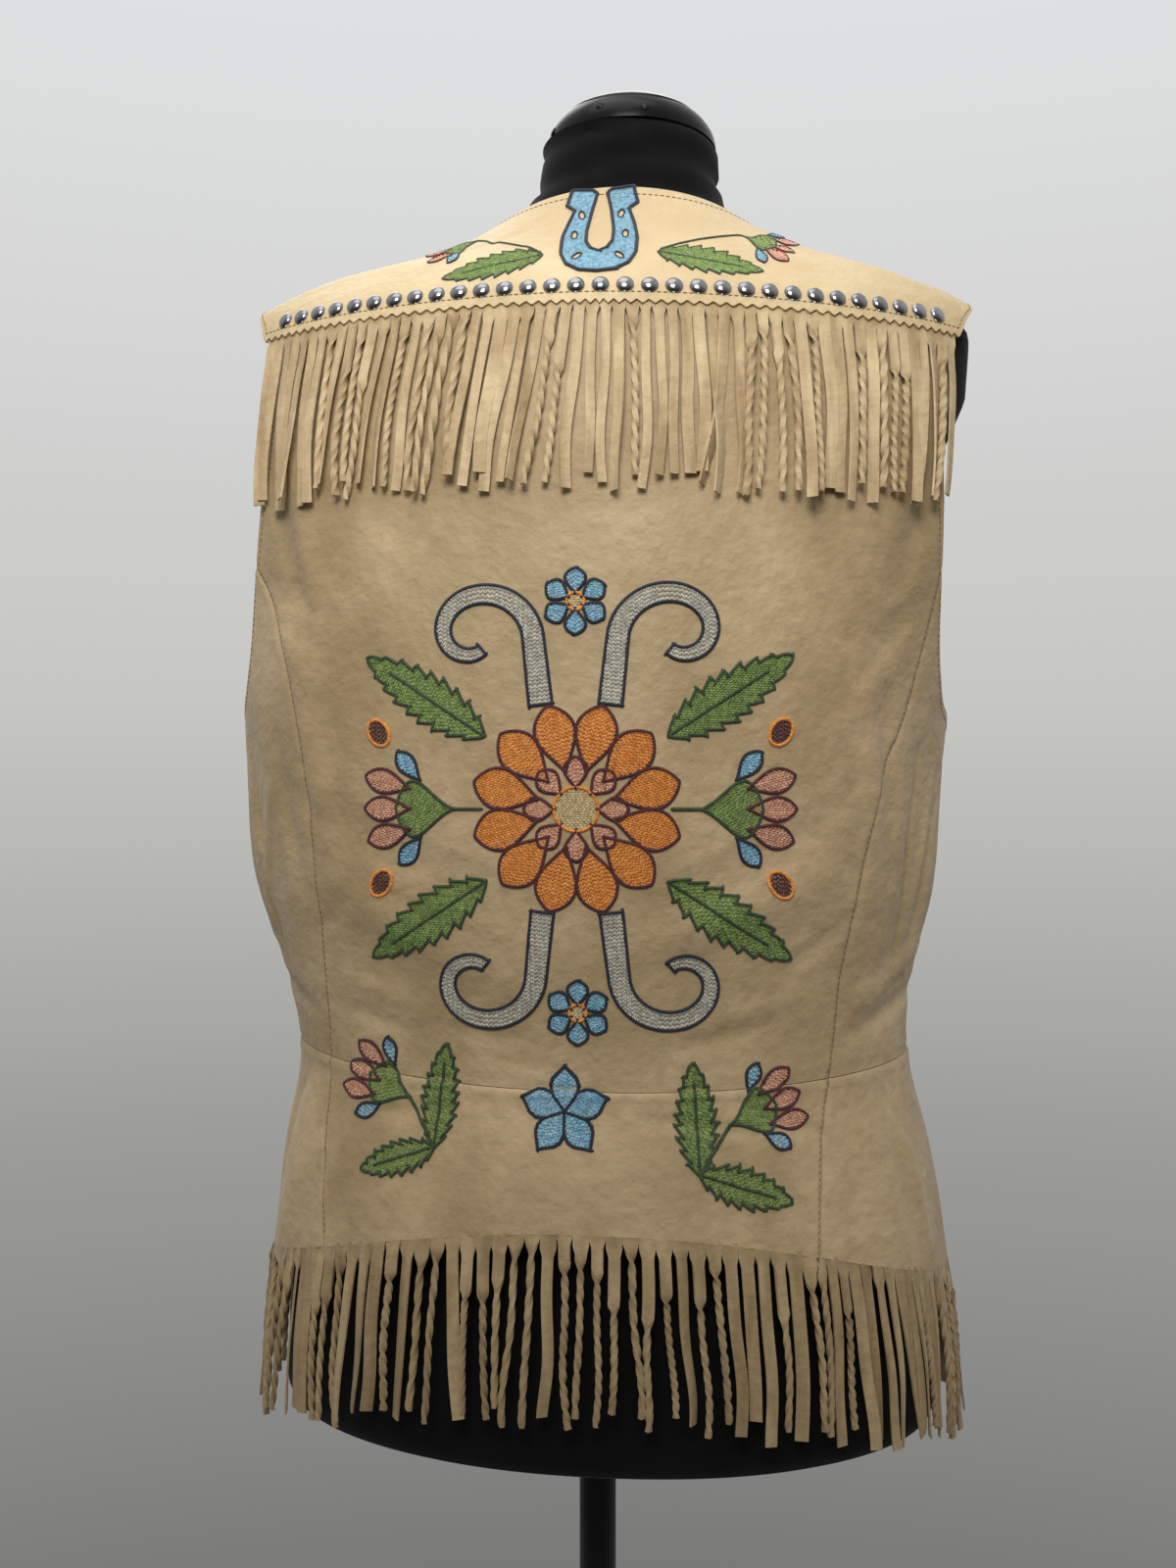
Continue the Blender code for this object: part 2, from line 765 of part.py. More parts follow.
def form_radius_loss(height):
    """How much the form's underside draws in at its rim."""
    above = height - FORM_RIM
    if above >= FORM_RIM_ROUNDING:
        return 0.0
    return FORM_RIM_ROUNDING - math.sqrt(FORM_RIM_ROUNDING**2 - (FORM_RIM_ROUNDING - above) ** 2)


def build_form(collection):
    """The dress form's torso, closed at its rim and at the top of its neck."""
    low_rows = [FORM_RIM, FORM_RIM + 0.004, FORM_RIM + FORM_RIM_ROUNDING]
    body_rows = [row[0] for row in SECTIONS if 0.58 < row[0] < YOKE_EDGE]
    heights = low_rows + body_rows + levels_up_to_shoulder(YOKE_EDGE, 2) + list(NECK_LEVELS)
    columns = 32
    bm = bmesh.new()
    rings = []
    for height in heights:
        ease = interpolated(EASE, EASE_COLUMNS, "ease", height) / 1000 + form_radius_loss(height)
        ring = []
        for column in range(columns):
            angle = -180 + 360 * column / columns
            ring.append(bm.verts.new(off_body(angle, height, -ease)))
        rings.append(ring)
    for low, high in zip(rings, rings[1:]):
        for column in range(columns):
            after = (column + 1) % columns
            bm.faces.new((low[column], high[column], high[after], low[after]))
    bm.faces.new(rings[0])
    bm.faces.new(rings[-1][::-1])
    bmesh.ops.recalc_face_normals(bm, faces=bm.faces)
    add_object("form_torso", bm, JERSEY, collection)


def turned(name, profile, finish, collection, steps):
    """A turned solid from a profile of radius and height, outer side first, top to bottom."""
    bm = bmesh.new()
    verts = [bm.verts.new((radius, 0, height)) for radius, height in profile]
    for first, second in zip(verts, verts[1:]):
        bm.edges.new((first, second))
    made = add_object(name, bm, finish, collection)
    screw = made.modifiers.new("turning", "SCREW")
    screw.steps = steps
    screw.render_steps = steps
    screw.use_merge_vertices = True
    screw.merge_threshold = 0.00005
    screw.use_smooth_shade = True
    return made


def build_neck_cap(collection):
    dome = 5
    profile = []
    for step in range(dome + 1):
        turn = math.radians(90 - 82 * step / dome)
        profile.append((NECK_CAP_RADIUS * math.cos(turn), NECK_CAP_HEIGHT * math.sin(turn)))
    profile[0] = (0.0, NECK_CAP_HEIGHT)
    profile += [(NECK_CAP_RADIUS, 0.0), (0.0, 0.0)]
    made = turned("form_neck_cap", profile, GLOSS, collection, 24)
    made.location = (NECK_CENTRE, 0.0, FORM_NECK_TOP + SEAM_GAP)
    made.rotation_euler = (0.0, -LEAN_ANGLE, 0.0)


def build_stand(collection):
    """The pole and the round base plate with its hub."""
    edge = 0.002
    base = [
        (0.0, HUB_HEIGHT),
        (HUB_RADIUS * 0.6, HUB_HEIGHT),
        (HUB_RADIUS * 0.7, HUB_HEIGHT - edge),
        (HUB_RADIUS, BASE_THICKNESS + edge),
        (HUB_RADIUS + edge, BASE_THICKNESS),
        (BASE_RADIUS - edge, BASE_THICKNESS),
        (BASE_RADIUS, BASE_THICKNESS - edge),
        (BASE_RADIUS, 0.0),
        (0.0, 0.0),
    ]
    turned("stand_base", base, PAINTED, collection, 40)
    bm = bmesh.new()
    low, high = HUB_HEIGHT + SEAM_GAP, FORM_RIM - SEAM_GAP * 1.5
    bmesh.ops.create_cone(
        bm,
        cap_ends=True,
        segments=24,
        radius1=POLE_RADIUS,
        radius2=POLE_RADIUS,
        depth=high - low,
        matrix=Matrix.Translation((0, 0, (low + high) / 2)),
    )
    add_object("stand_pole", bm, PAINTED, collection)


def new_collection(name):
    made = bpy.data.collections.new(name)
    bpy.context.scene.collection.children.link(made)
    return made


def main():
    for old in list(bpy.data.objects):
        bpy.data.objects.remove(old, do_unlink=True)
    collection = new_collection("western vest on dress form")
    build_form(collection)
    build_neck_cap(collection)
    build_stand(collection)
    build_back(collection)
    for side, word in ((1, "left"), (-1, "right")):
        build_sides(side, word, collection)
        build_fronts(side, word, collection)
    build_yoke(collection)
    build_yoke_fringe(collection)
    build_hem_fringe(collection)
    build_studs(collection)


main()
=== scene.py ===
"""Looks of a fringed suede leather western vest, seen from behind on a black dress form.

Angles are in degrees from the centre back, positive to the wearer's left (+X). Heights and other
lengths are in metres, and names that end in _mm are millimetres. Leather, thread and fringe are
fine shells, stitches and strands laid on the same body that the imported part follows.
"""

import logging
import math
from collections.abc import Callable, Iterable, Sequence
from dataclasses import dataclass, field
from enum import Enum

import bmesh
import bpy
import numpy as np
from mathutils import Matrix, Vector


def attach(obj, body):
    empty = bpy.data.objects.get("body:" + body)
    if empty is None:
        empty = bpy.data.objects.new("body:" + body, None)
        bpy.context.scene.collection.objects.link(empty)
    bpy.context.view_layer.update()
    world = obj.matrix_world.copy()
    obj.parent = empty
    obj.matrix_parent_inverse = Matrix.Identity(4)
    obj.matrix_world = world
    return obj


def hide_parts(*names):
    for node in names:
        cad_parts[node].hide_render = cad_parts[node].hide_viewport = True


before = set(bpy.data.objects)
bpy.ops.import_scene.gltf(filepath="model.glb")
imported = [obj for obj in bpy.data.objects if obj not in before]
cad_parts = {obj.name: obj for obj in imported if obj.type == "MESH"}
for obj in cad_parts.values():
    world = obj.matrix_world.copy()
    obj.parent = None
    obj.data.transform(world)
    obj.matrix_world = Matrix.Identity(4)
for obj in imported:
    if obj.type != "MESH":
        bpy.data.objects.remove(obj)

logging.basicConfig(level=logging.INFO, format="%(message)s")
log = logging.getLogger("vest")

Array = np.ndarray
Surface = Callable[[Array, Array], Array]
Line = Callable[[Array], Array]
Outline = Array
Piece = bpy.types.Object
Mesh = bpy.types.Mesh
Tree = bpy.types.NodeTree
Socket = bpy.types.NodeSocket

BODY = "root"
MM = 0.001
LEAN = math.radians(0.75)
LEATHER = 0.0014
HALF_GAP = 0.00015
WAIST = 0.747
WAIST_RISE_AT_SIDES = 0.010
HEM_BACK = 0.676
HEM_DROP_AT_SIDES = 0.042
HEM_LOWEST = 0.600
YOKE_EDGE = 1.160
YOKE_LIFT = 0.0040
YOKE_LIFT_FULL = 0.009
YOKE_LIFT_END = 0.034
PANEL_UNDER_YOKE = 0.006
PRINCESS_TOP = 1.030
SHOULDER_TIP = 1.197
NECK_SIDE = 1.236
NECK_BACK = 1.247
FRONT_DART_ANGLE = 116.0
ARC_PER_DEGREE_MM = 3.6
SEAM_SHARE_ANGLE = 0.04

# Height, then half width, depth of the back, depth of the front, squareness and sideways shift
SECTIONS = np.array(
    (
        (0.530, 206, 145, 142, 2.15, -7),
        (0.600, 204, 143, 141, 2.15, -7),
        (0.660, 198, 136, 134, 2.15, -6),
        (0.700, 192, 128, 127, 2.15, -5),
        (0.749, 182, 118, 119, 2.15, -3),
        (0.800, 186, 121, 122, 2.15, 2),
        (0.850, 198, 128, 129, 2.15, 4),
        (0.900, 204, 132, 134, 2.15, 4),
        (0.950, 210, 135, 137, 2.10, 3),
        (1.000, 216, 136, 136, 2.05, 0),
        (1.050, 223, 134, 128, 2.00, -3),
        (1.100, 229, 130, 116, 1.90, -6),
        (1.140, 232, 124, 102, 1.80, -8),
        (1.168, 230, 118, 86, 1.75, -9),
        (1.185, 221, 108, 72, 1.75, -10),
        (1.197, 200, 98, 60, 1.80, -12),
        (1.207, 163, 88, 52, 1.85, -16),
        (1.217, 128, 78, 46, 1.90, -18),
        (1.228, 100, 69, 44, 2.00, -17),
        (1.240, 78, 61, 44, 2.00, -16),
        (1.255, 61, 56, 46, 2.00, -18),
        (1.292, 52, 51, 51, 2.00, -20),
    )
)

# Height, then mm from the leather's outer face to the dress form
EASE = np.array(
    (
        (0.530, 12.0),
        (0.660, 13.0),
        (0.749, 11.0),
        (0.850, 8.0),
        (0.950, 5.0),
        (1.050, 3.4),
        (1.140, 3.2),
        (1.197, 3.0),
        (1.236, 3.2),
        (1.250, 3.0),
        (1.262, 1.4),
        (1.292, 0.0),
    )
)

# Height, then angles of the left and the right princess seam
PRINCESS = np.array(
    (
        (0.630, 47.0, 34.0),
        (0.690, 50.5, 37.0),
        (0.722, 53.5, 39.5),
        (0.752, 54.5, 43.5),
        (0.779, 52.5, 46.0),
        (0.806, 50.0, 47.0),
        (0.844, 46.5, 48.0),
        (0.876, 46.0, 49.0),
        (0.918, 46.5, 52.5),
        (0.952, 49.0, 56.5),
        (0.984, 52.0, 59.0),
        (1.012, 56.0, 60.5),
        (1.030, 61.0, 61.0),
    )
)

# Height, then angles of the armhole's back and front edge
ARMHOLE = np.array(
    (
        (0.945, 90.0, 90.0),
        (0.952, 79.0, 100.0),
        (0.966, 70.0, 107.5),
        (0.998, 64.0, 113.0),
        (1.030, 61.0, 116.0),
        (1.064, 58.5, 119.0),
        (1.120, 57.0, 120.0),
        (1.160, 59.0, 118.0),
        (1.180, 67.0, 112.0),
        (1.190, 76.0, 104.0),
        (1.197, 89.0, 91.0),
    )
)

# Height, then the centre front edge's angle, up from the hem and along the V neck
FRONT_EDGE = np.array(
    (
        (0.620, 177.6),
        (0.990, 177.6),
        (1.020, 175.5),
        (1.080, 167.0),
        (1.140, 156.0),
        (1.185, 141.0),
        (1.210, 124.0),
        (1.226, 107.0),
        (1.236, 96.0),
    )
)

# Height, then how far the form reaches to the left and the right, in mm
FORM_REACH = np.array(
    (
        (0.920, 250, 250),
        (0.948, 187, 194),
        (1.000, 187, 195),
        (1.060, 184, 195),
        (1.100, 185, 199),
        (1.130, 185, 213),
        (1.170, 186, 217),
        (1.197, 180, 190),
    )
)


class Side(Enum):
    """The wearer's sides, with the sign of their angles."""

    LEFT = 1
    RIGHT = -1

    @property
    def word(self) -> str:
        """The side's name in node names."""
        return self.name.lower()


@dataclass(frozen=True)
class Crease:
    """A soft fold of the leather between two points.

    Args:
        start: Angle and height of one end.
        end: Angle and height of the other end.
        reach_mm: Half width.
        rise_mm: How far it stands out, or less than zero for a trough.
    """

    start: tuple[float, float]
    end: tuple[float, float]
    reach_mm: float
    rise_mm: float

    def rise(self, angle: Array, height: Array) -> Array:
        """How far the crease carries the leather outwards, in mm.

        Args:
            angle: Angles of the points.
            height: Heights of the points.

        Returns:
            The rise at each point.
        """
        across = (angle - self.start[0]) * ARC_PER_DEGREE_MM
        up = (height - self.start[1]) * 1000
        run_across = (self.end[0] - self.start[0]) * ARC_PER_DEGREE_MM
        run_up = (self.end[1] - self.start[1]) * 1000
        share = (across * run_across + up * run_up) / (run_across**2 + run_up**2)
        share = np.clip(share, 0, 1)
        away = np.hypot(across - share * run_across, up - share * run_up) / self.reach_mm
        fade = 0.35 + 0.65 * np.sin(np.pi * np.clip(share, 0.08, 0.92))
        return self.rise_mm * fade * np.maximum(0, 1 - away**2) ** 2


def creases(rows: Iterable[Sequence[float]]) -> tuple[Crease, ...]:
    """Creases from rows of angle, height, angle, height, half width and rise."""
    return tuple(Crease((a, b), (c, d), reach, rise) for a, b, c, d, reach, rise in rows)


# The largest folds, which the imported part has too
FOLDS = creases(
    (
        (-66, 0.922, -66, 0.800, 30, -2.6),
        (-78, 0.930, -78.5, 0.790, 32, 2.8),
        (67, 0.915, 66, 0.835, 32, -2.0),
        (79, 0.925, 78, 0.800, 32, 2.2),
        (-38, 0.700, -39, 0.640, 30, -2.4),
        (-50, 0.715, -53, 0.630, 34, 3.6),
        (-74, 0.700, -77, 0.628, 36, -2.6),
        (36, 0.702, 35, 0.655, 34, 2.2),
        (62, 0.712, 66, 0.634, 36, 3.0),
        (8, 0.700, 9, 0.670, 32, -1.6),
        (108, 0.940, 112, 0.815, 36, 2.6),
        (127, 0.925, 134, 0.845, 34, -2.4),
        (-109, 0.925, -114, 0.800, 34, 2.4),
        (-131, 0.935, -136, 0.830, 38, -2.2),
        (118, 0.712, 121, 0.630, 36, 3.2),
        (146, 0.705, 149, 0.630, 34, -2.4),
        (-115, 0.705, -120, 0.630, 34, 2.8),
        (-143, 0.712, -146, 0.630, 36, -2.6),
    )
)

# Smaller creases of the back, the yoke, the skirt and the fronts
SMALL_CREASES = creases(
    (
        (-6, 0.820, -40, 0.860, 17, 1.5),
        (10, 0.806, 44, 0.852, 18, 1.5),
        (-12, 0.845, -44, 0.900, 16, -1.3),
        (6, 0.842, 40, 0.890, 18, -1.4),
        (-44, 0.980, -52, 0.850, 15, 1.7),
        (-50, 0.960, -58, 0.860, 10, -1.4),
        (46, 0.960, 40, 0.860, 16, 1.6),
        (55, 0.930, 50, 0.850, 12, -1.5),
        (34, 1.045, 26, 0.980, 20, 1.3),
        (-28, 1.060, -38, 0.990, 20, -1.4),
        (-8, 1.060, -14, 1.000, 18, 1.1),
        (14, 1.050, 10, 1.000, 18, -1.1),
        (60, 0.900, 72, 0.830, 14, 1.9),
        (-86, 0.925, -82, 0.800, 12, 2.4),
        (-75, 0.915, -73, 0.800, 10, -2.0),
        (-50, 0.775, -84, 0.796, 9, -2.0),
        (-52, 0.792, -80, 0.818, 11, 1.6),
        (57, 0.780, 82, 0.795, 9, -1.6),
        (72, 0.930, 70, 0.800, 9, -1.8),
        (84, 0.935, 80, 0.820, 11, 2.0),
        (-22, 0.730, -28, 0.680, 15, 1.5),
        (24, 0.728, 30, 0.672, 16, -1.5),
        (44, 0.726, 50, 0.660, 15, 1.7),
        (-46, 0.730, -44, 0.662, 13, -1.6),
        (70, 0.726, 78, 0.650, 15, -1.7),
        (-62, 0.728, -66, 0.656, 15, 1.8),
        (-63.5, 0.930, -66.5, 0.800, 7, -1.6),
        (-72, 0.900, -70, 0.845, 9, 1.1),
        (30, 0.775, 47, 0.786, 7, -1.0),
        (26, 0.788, 44, 0.802, 8, 0.9),
        (8, 0.772, 24, 0.779, 6, -0.8),
        (-12, 0.770, -30, 0.782, 6, -0.9),
        (-16, 0.781, -36, 0.796, 8, 0.8),
        (-34, 0.812, -47, 0.838, 9, -0.9),
        (38, 0.845, 50, 0.822, 9, -0.8),
        (4, 0.758, 14, 0.763, 5, -0.7),
        (22, 0.735, 42, 0.728, 6, -0.9),
        (-8, 0.734, -26, 0.726, 6, -1.0),
        (-26, 0.737, -40, 0.722, 7, -0.9),
        (-30, 0.718, -36, 0.668, 12, 1.1),
        (14, 0.728, 20, 0.664, 14, -0.9),
        (48, 0.730, 46, 0.664, 10, -1.0),
        (-22, 0.716, -20, 0.664, 12, -0.8),
        (-58, 0.742, -64, 0.716, 7, -0.9),
        (64, 0.742, 72, 0.722, 7, -0.9),
        (52, 0.990, 42, 0.962, 14, 1.1),
        (57, 1.110, 47, 1.020, 16, -1.6),
        (-57, 1.100, -49, 1.020, 16, -1.6),
        (50, 1.080, 42, 1.000, 14, 1.5),
        (56, 1.020, 40, 1.000, 12, -0.9),
        (-56, 1.010, -44, 0.980, 13, -1.0),
        (-52, 0.980, -42, 0.945, 15, 1.0),
        (30, 1.050, 18, 1.020, 16, -0.7),
        (-20, 1.046, -32, 1.012, 17, 0.7),
        (50, 0.905, 40, 0.880, 11, -0.8),
        (-40, 0.885, -48, 0.905, 11, 0.8),
        (74, 0.880, 68, 0.850, 9, 0.9),
        (84, 0.935, 76, 0.905, 8, -1.0),
        (-86, 0.930, -76, 0.895, 8, -1.0),
        (24, 1.232, 38, 1.196, 11, -0.8),
        (-28, 1.230, -42, 1.194, 12, -0.9),
        (44, 1.206, 62, 1.186, 9, 0.7),
        (-46, 1.210, -60, 1.184, 10, 0.8),
        (12, 1.214, 20, 1.186, 9, 0.5),
        (102, 0.780, 122, 0.792, 9, -1.2),
        (128, 0.770, 150, 0.778, 8, -1.0),
        (-104, 0.782, -120, 0.770, 9, -1.1),
        (-134, 0.774, -158, 0.786, 9, -1.2),
        (104, 0.726, 116, 0.706, 8, -1.0),
        (-128, 0.730, -112, 0.704, 9, -1.0),
        (118, 1.020, 132, 0.990, 13, -1.1),
        (-118, 1.014, -136, 0.996, 12, -1.2),
        (112, 1.190, 126, 1.140, 12, 0.9),
        (-110, 1.192, -128, 1.136, 12, 0.9),
        (150, 0.960, 166, 0.930, 14, 0.9),
        (-148, 0.955, -168, 0.910, 14, -0.9),
    )
)


def smooth_curve(table: Array, column: int, height: Array) -> Array:
    """A column of a table at some heights, on a smooth curve through its rows.

    Args:
        table: Rows whose first value is a height.
        column: The column to read.
        height: Heights to read it at.

    Returns:
        The value at each height.
    """
    heights, values = table[:, 0], table[:, column]
    slopes = np.gradient(values, heights)
    height = np.clip(height, heights[0], heights[-1])
    low = np.clip(np.searchsorted(heights, height) - 1, 0, len(heights) - 2)
    span = heights[low + 1] - heights[low]
    t = (height - heights[low]) / span
    start = (2 * t**3 - 3 * t**2 + 1) * values[low] + (t**3 - 2 * t**2 + t) * span * slopes[low]
    end = (3 * t**2 - 2 * t**3) * values[low + 1] + (t**3 - t**2) * span * slopes[low + 1]
    return start + end


def smooth_step(value: Array, start: float, end: float) -> Array:
    """A soft step from 0 at start to 1 at end."""
    t = np.clip((value - start) / (end - start), 0, 1)
    return t * t * (3 - 2 * t)


def signed_power(value: Array, power: Array) -> Array:
    """A power that keeps the sign of its base."""
    return np.sign(value) * np.abs(value) ** power


def unit(vectors: Array) -> Array:
    """The vectors, each with length one."""
    return vectors / np.maximum(np.linalg.norm(vectors, axis=-1, keepdims=True), 1e-12)


def run_along(places: Array) -> Array:
    """The length of a line of points up to each of them."""
    return np.concatenate([[0], np.cumsum(np.linalg.norm(np.diff(places, axis=0), axis=1))])


def waist_at(angle: Array) -> Array:
    """The waist seam's height."""
    return WAIST + WAIST_RISE_AT_SIDES * np.sin(np.radians(angle)) ** 2


def hem_at(angle: Array) -> Array:
    """The hem's height, level across the fronts."""
    turn = np.radians(np.clip(angle, -90, 90))
    return HEM_BACK - HEM_DROP_AT_SIDES * np.sin(turn) ** 2


def princess_at(side: Side, height: Array) -> Array:
    """The princess seam's angle on one side."""
    return side.value * smooth_curve(PRINCESS, 1 if side is Side.LEFT else 2, height)


def armhole_at(column: int, height: Array) -> Array:
    """The angle of the armhole's back edge (column 1) or front edge (column 2)."""
    return smooth_curve(ARMHOLE, column, height)


def underarm_at(column: int, angle: Array) -> Array:
    """The height of the armhole's lower curve at angles."""
    rows = ARMHOLE[ARMHOLE[:, 0] <= PRINCESS_TOP][:, (column, 0)]
    return smooth_curve(rows[np.argsort(rows[:, 0])], 1, np.abs(angle))


def front_edge_at(height: Array) -> Array:
    """The angle of the centre front edge and the V neck."""
    return np.minimum(smooth_curve(FRONT_EDGE, 1, height), FRONT_EDGE[0, 1])


def neckline_at(share: Array) -> Array:
    """The back neckline's height; share runs from -1 to 1 between the shoulder seams."""
    return NECK_BACK - (NECK_BACK - NECK_SIDE) * np.abs(share) ** 2.2


def yoke_lift_at(height: Array) -> Array:
    """How far the yoke stands off the body above its edge, in metres."""
    return YOKE_LIFT * (1 - smooth_step(height - YOKE_EDGE, YOKE_LIFT_FULL, YOKE_LIFT_END))


@dataclass
class LeatherBody:
    """The surface of the worn leather, with its folds, creases and seams.

    Args:
        crease_strength: How strongly the smaller creases show.
    """

    crease_strength: float = 1.35

    def point(self, angle: Array, height: Array) -> Array:
        """Points of the plain body.

        Args:
            angle: Angles of the points.
            height: Heights of the points before the body's lean.

        Returns:
            Their places, with x, y and z in the last axis.
        """
        turn = np.radians(angle)
        width, back, front, squareness, shift = (
            smooth_curve(SECTIONS, column, height) for column in range(1, 6)
        )
        across = width * signed_power(np.sin(turn), 2 / squareness) * MM
        depth = np.where(np.cos(turn) > 0, back, front)
        along = depth * signed_power(np.cos(turn), 2 / squareness) * MM
        lift = math.tan(LEAN) * across
        return np.stack([across + shift * MM, along, height + lift], -1)

    def normal(self, angle: Array, height: Array) -> Array:
        """Unit normals of the plain body, outwards.

        Args:
            angle: Angles of the points.
            height: Heights of the points.

        Returns:
            The normals.
        """
        low = np.minimum(height, 1.288)
        round_body = self.point(angle + 1, low) - self.point(angle - 1, low)
        up_body = self.point(angle, low + 0.002) - self.point(angle, low - 0.002)
        return unit(np.cross(up_body, round_body))

    def off(self, angle: Array, height: Array, distance: Array | float) -> Array:
        """Points at a distance outside the plain body."""
        angle, height, distance = np.broadcast_arrays(angle, height, distance)
        return self.point(angle, height) + self.normal(angle, height) * distance[..., None]

    def seam_dip(self, angle: Array, height: Array) -> Array:
        """How far the leather sinks at its seams and puckers beside them, in mm.

        Args:
            angle: Angles of the points.
            height: Heights of the points.

        Returns:
            The dip at each point, less than zero inwards.
        """
        dip = np.zeros_like(height)
        for side in Side:
            away = (angle - princess_at(side, height)) * ARC_PER_DEGREE_MM
            here = smooth_step(-height, -PRINCESS_TOP - 0.004, -PRINCESS_TOP + 0.004)
            pucker = np.sin(height * 640) * np.sin(height * 211 + side.value)
            swell = 0.35 * np.exp(-(((away - 4) / 2.6) ** 2))
            groove = 0.9 * np.exp(-((away / 2.2) ** 2))
            dip += here * (swell - groove + 0.2 * pucker * np.exp(-((away / 8) ** 2)))
        away = (height - waist_at(angle)) * 1000
        pucker = np.sin(angle * 1.9) * np.sin(angle * 0.47 + 1)
        dip += 0.8 * np.exp(-(((away + 2.2) / 2.0) ** 2)) - 1.0 * np.exp(-(((away - 1.2) / 2.2) ** 2))
        dip += 0.38 * pucker * np.exp(-((away / 11) ** 2))
        return dip

    def rise(self, angle: Array, height: Array) -> Array:
        """How far folds, creases and seams carry the leather outwards, in metres.

        Args:
            angle: Angles of the points.
            height: Heights of the points.

        Returns:
            The rise at each point.
        """
        total = sum(crease.rise(angle, height) for crease in FOLDS)
        total = total + self.crease_strength * sum(crease.rise(angle, height) for crease in SMALL_CREASES)
        below_yoke = 1 - smooth_step(height, 1.05, 1.09)
        ripple = np.sin(angle * 0.31 + 3 * np.sin(height * 23)) * np.sin(height * 41 + angle * 0.11)
        return (total + (self.seam_dip(angle, height) + 0.22 * ripple) * below_yoke) * MM

    def leather(self, angle: Array, height: Array, distance: Array | float = 0.0) -> Array:
        """Points at a distance outside the folded leather.

        Args:
            angle: Angles of the points.
            height: Heights of the points.
            distance: How far outside, in metres.

        Returns:
            Their places.
        """
        return self.off(angle, height, distance + self.rise(angle, height))

    def yoke(self, angle: Array, height: Array, distance: Array | float = 0.0) -> Array:
        """Points at a distance outside the yoke's leather."""
        return self.leather(angle, height, distance + yoke_lift_at(height))

    def angle_of(self, x_mm: Array, z_mm: Array) -> tuple[Array, Array]:
        """Angles and heights of points of the back given by sideways place and true height.

        Args:
            x_mm: Sideways places.
            z_mm: Heights above the floor.

        Returns:
            Angles and heights.
        """
        height = np.asarray(z_mm, float) * MM
        for _ in range(3):
            width, squareness, shift = (smooth_curve(SECTIONS, column, height) for column in (1, 4, 5))
            across = np.asarray(x_mm, float) - shift
            height = np.asarray(z_mm, float) * MM - math.tan(LEAN) * across * MM
        share = np.clip(np.abs(across) / width, 0, 1) ** (squareness / 2)
        return np.sign(across) * np.degrees(np.arcsin(share)), height

    def yoke_angles(self, share: Array, level: Array) -> tuple[Array, Array]:
        """Angles and heights of the yoke.

        Args:
            share: From -1 to 1 between the yoke's ends.
            level: Height of the row at the yoke's ends.

        Returns:
            Angles and heights.
        """
        up = (level - YOKE_EDGE) / (NECK_SIDE - YOKE_EDGE)
        end = np.where(level >= SHOULDER_TIP, 89.7, armhole_at(1, level))
        return share * end, YOKE_EDGE + (neckline_at(share) - YOKE_EDGE) * up


def add_node(
    tree: Tree, kind: str, inputs: dict | None = None, **settings: object
) -> bpy.types.Node:
    """Adds a node to a tree.

    Args:
        tree: The tree.
        kind: The node's type.
        inputs: A value or a socket to link for each input, by name or index.
        settings: Attributes of the node.

    Returns:
        The node.
    """
    node = tree.nodes.new(kind)
    for name, value in settings.items():
        setattr(node, name, value)
    for key, value in (inputs or {}).items():
        if isinstance(value, Socket):
            tree.links.new(value, node.inputs[key])
        else:
            node.inputs[key].default_value = value
    return node


def map_range(tree: Tree, inputs: dict) -> Socket:
    """The output of a map range node."""
    return add_node(tree, "ShaderNodeMapRange", inputs).outputs[0]


def mixed(tree: Tree, share: Socket, first: object, second: object) -> Socket:
    """Two colours or colour sockets, mixed by a share of the second."""
    inputs = {"Factor": share, "A": first, "B": second}
    return add_node(tree, "ShaderNodeMix", inputs, data_type="RGBA").outputs["Result"]


def srgb(code: str) -> tuple[float, float, float, float]:
    """A colour written as sRGB hex, as linear values."""
    parts = [int(code[i : i + 2], 16) / 255 for i in (1, 3, 5)]
    return (*[c / 12.92 if c <= 0.04045 else ((c + 0.055) / 1.055) ** 2.4 for c in parts], 1.0)


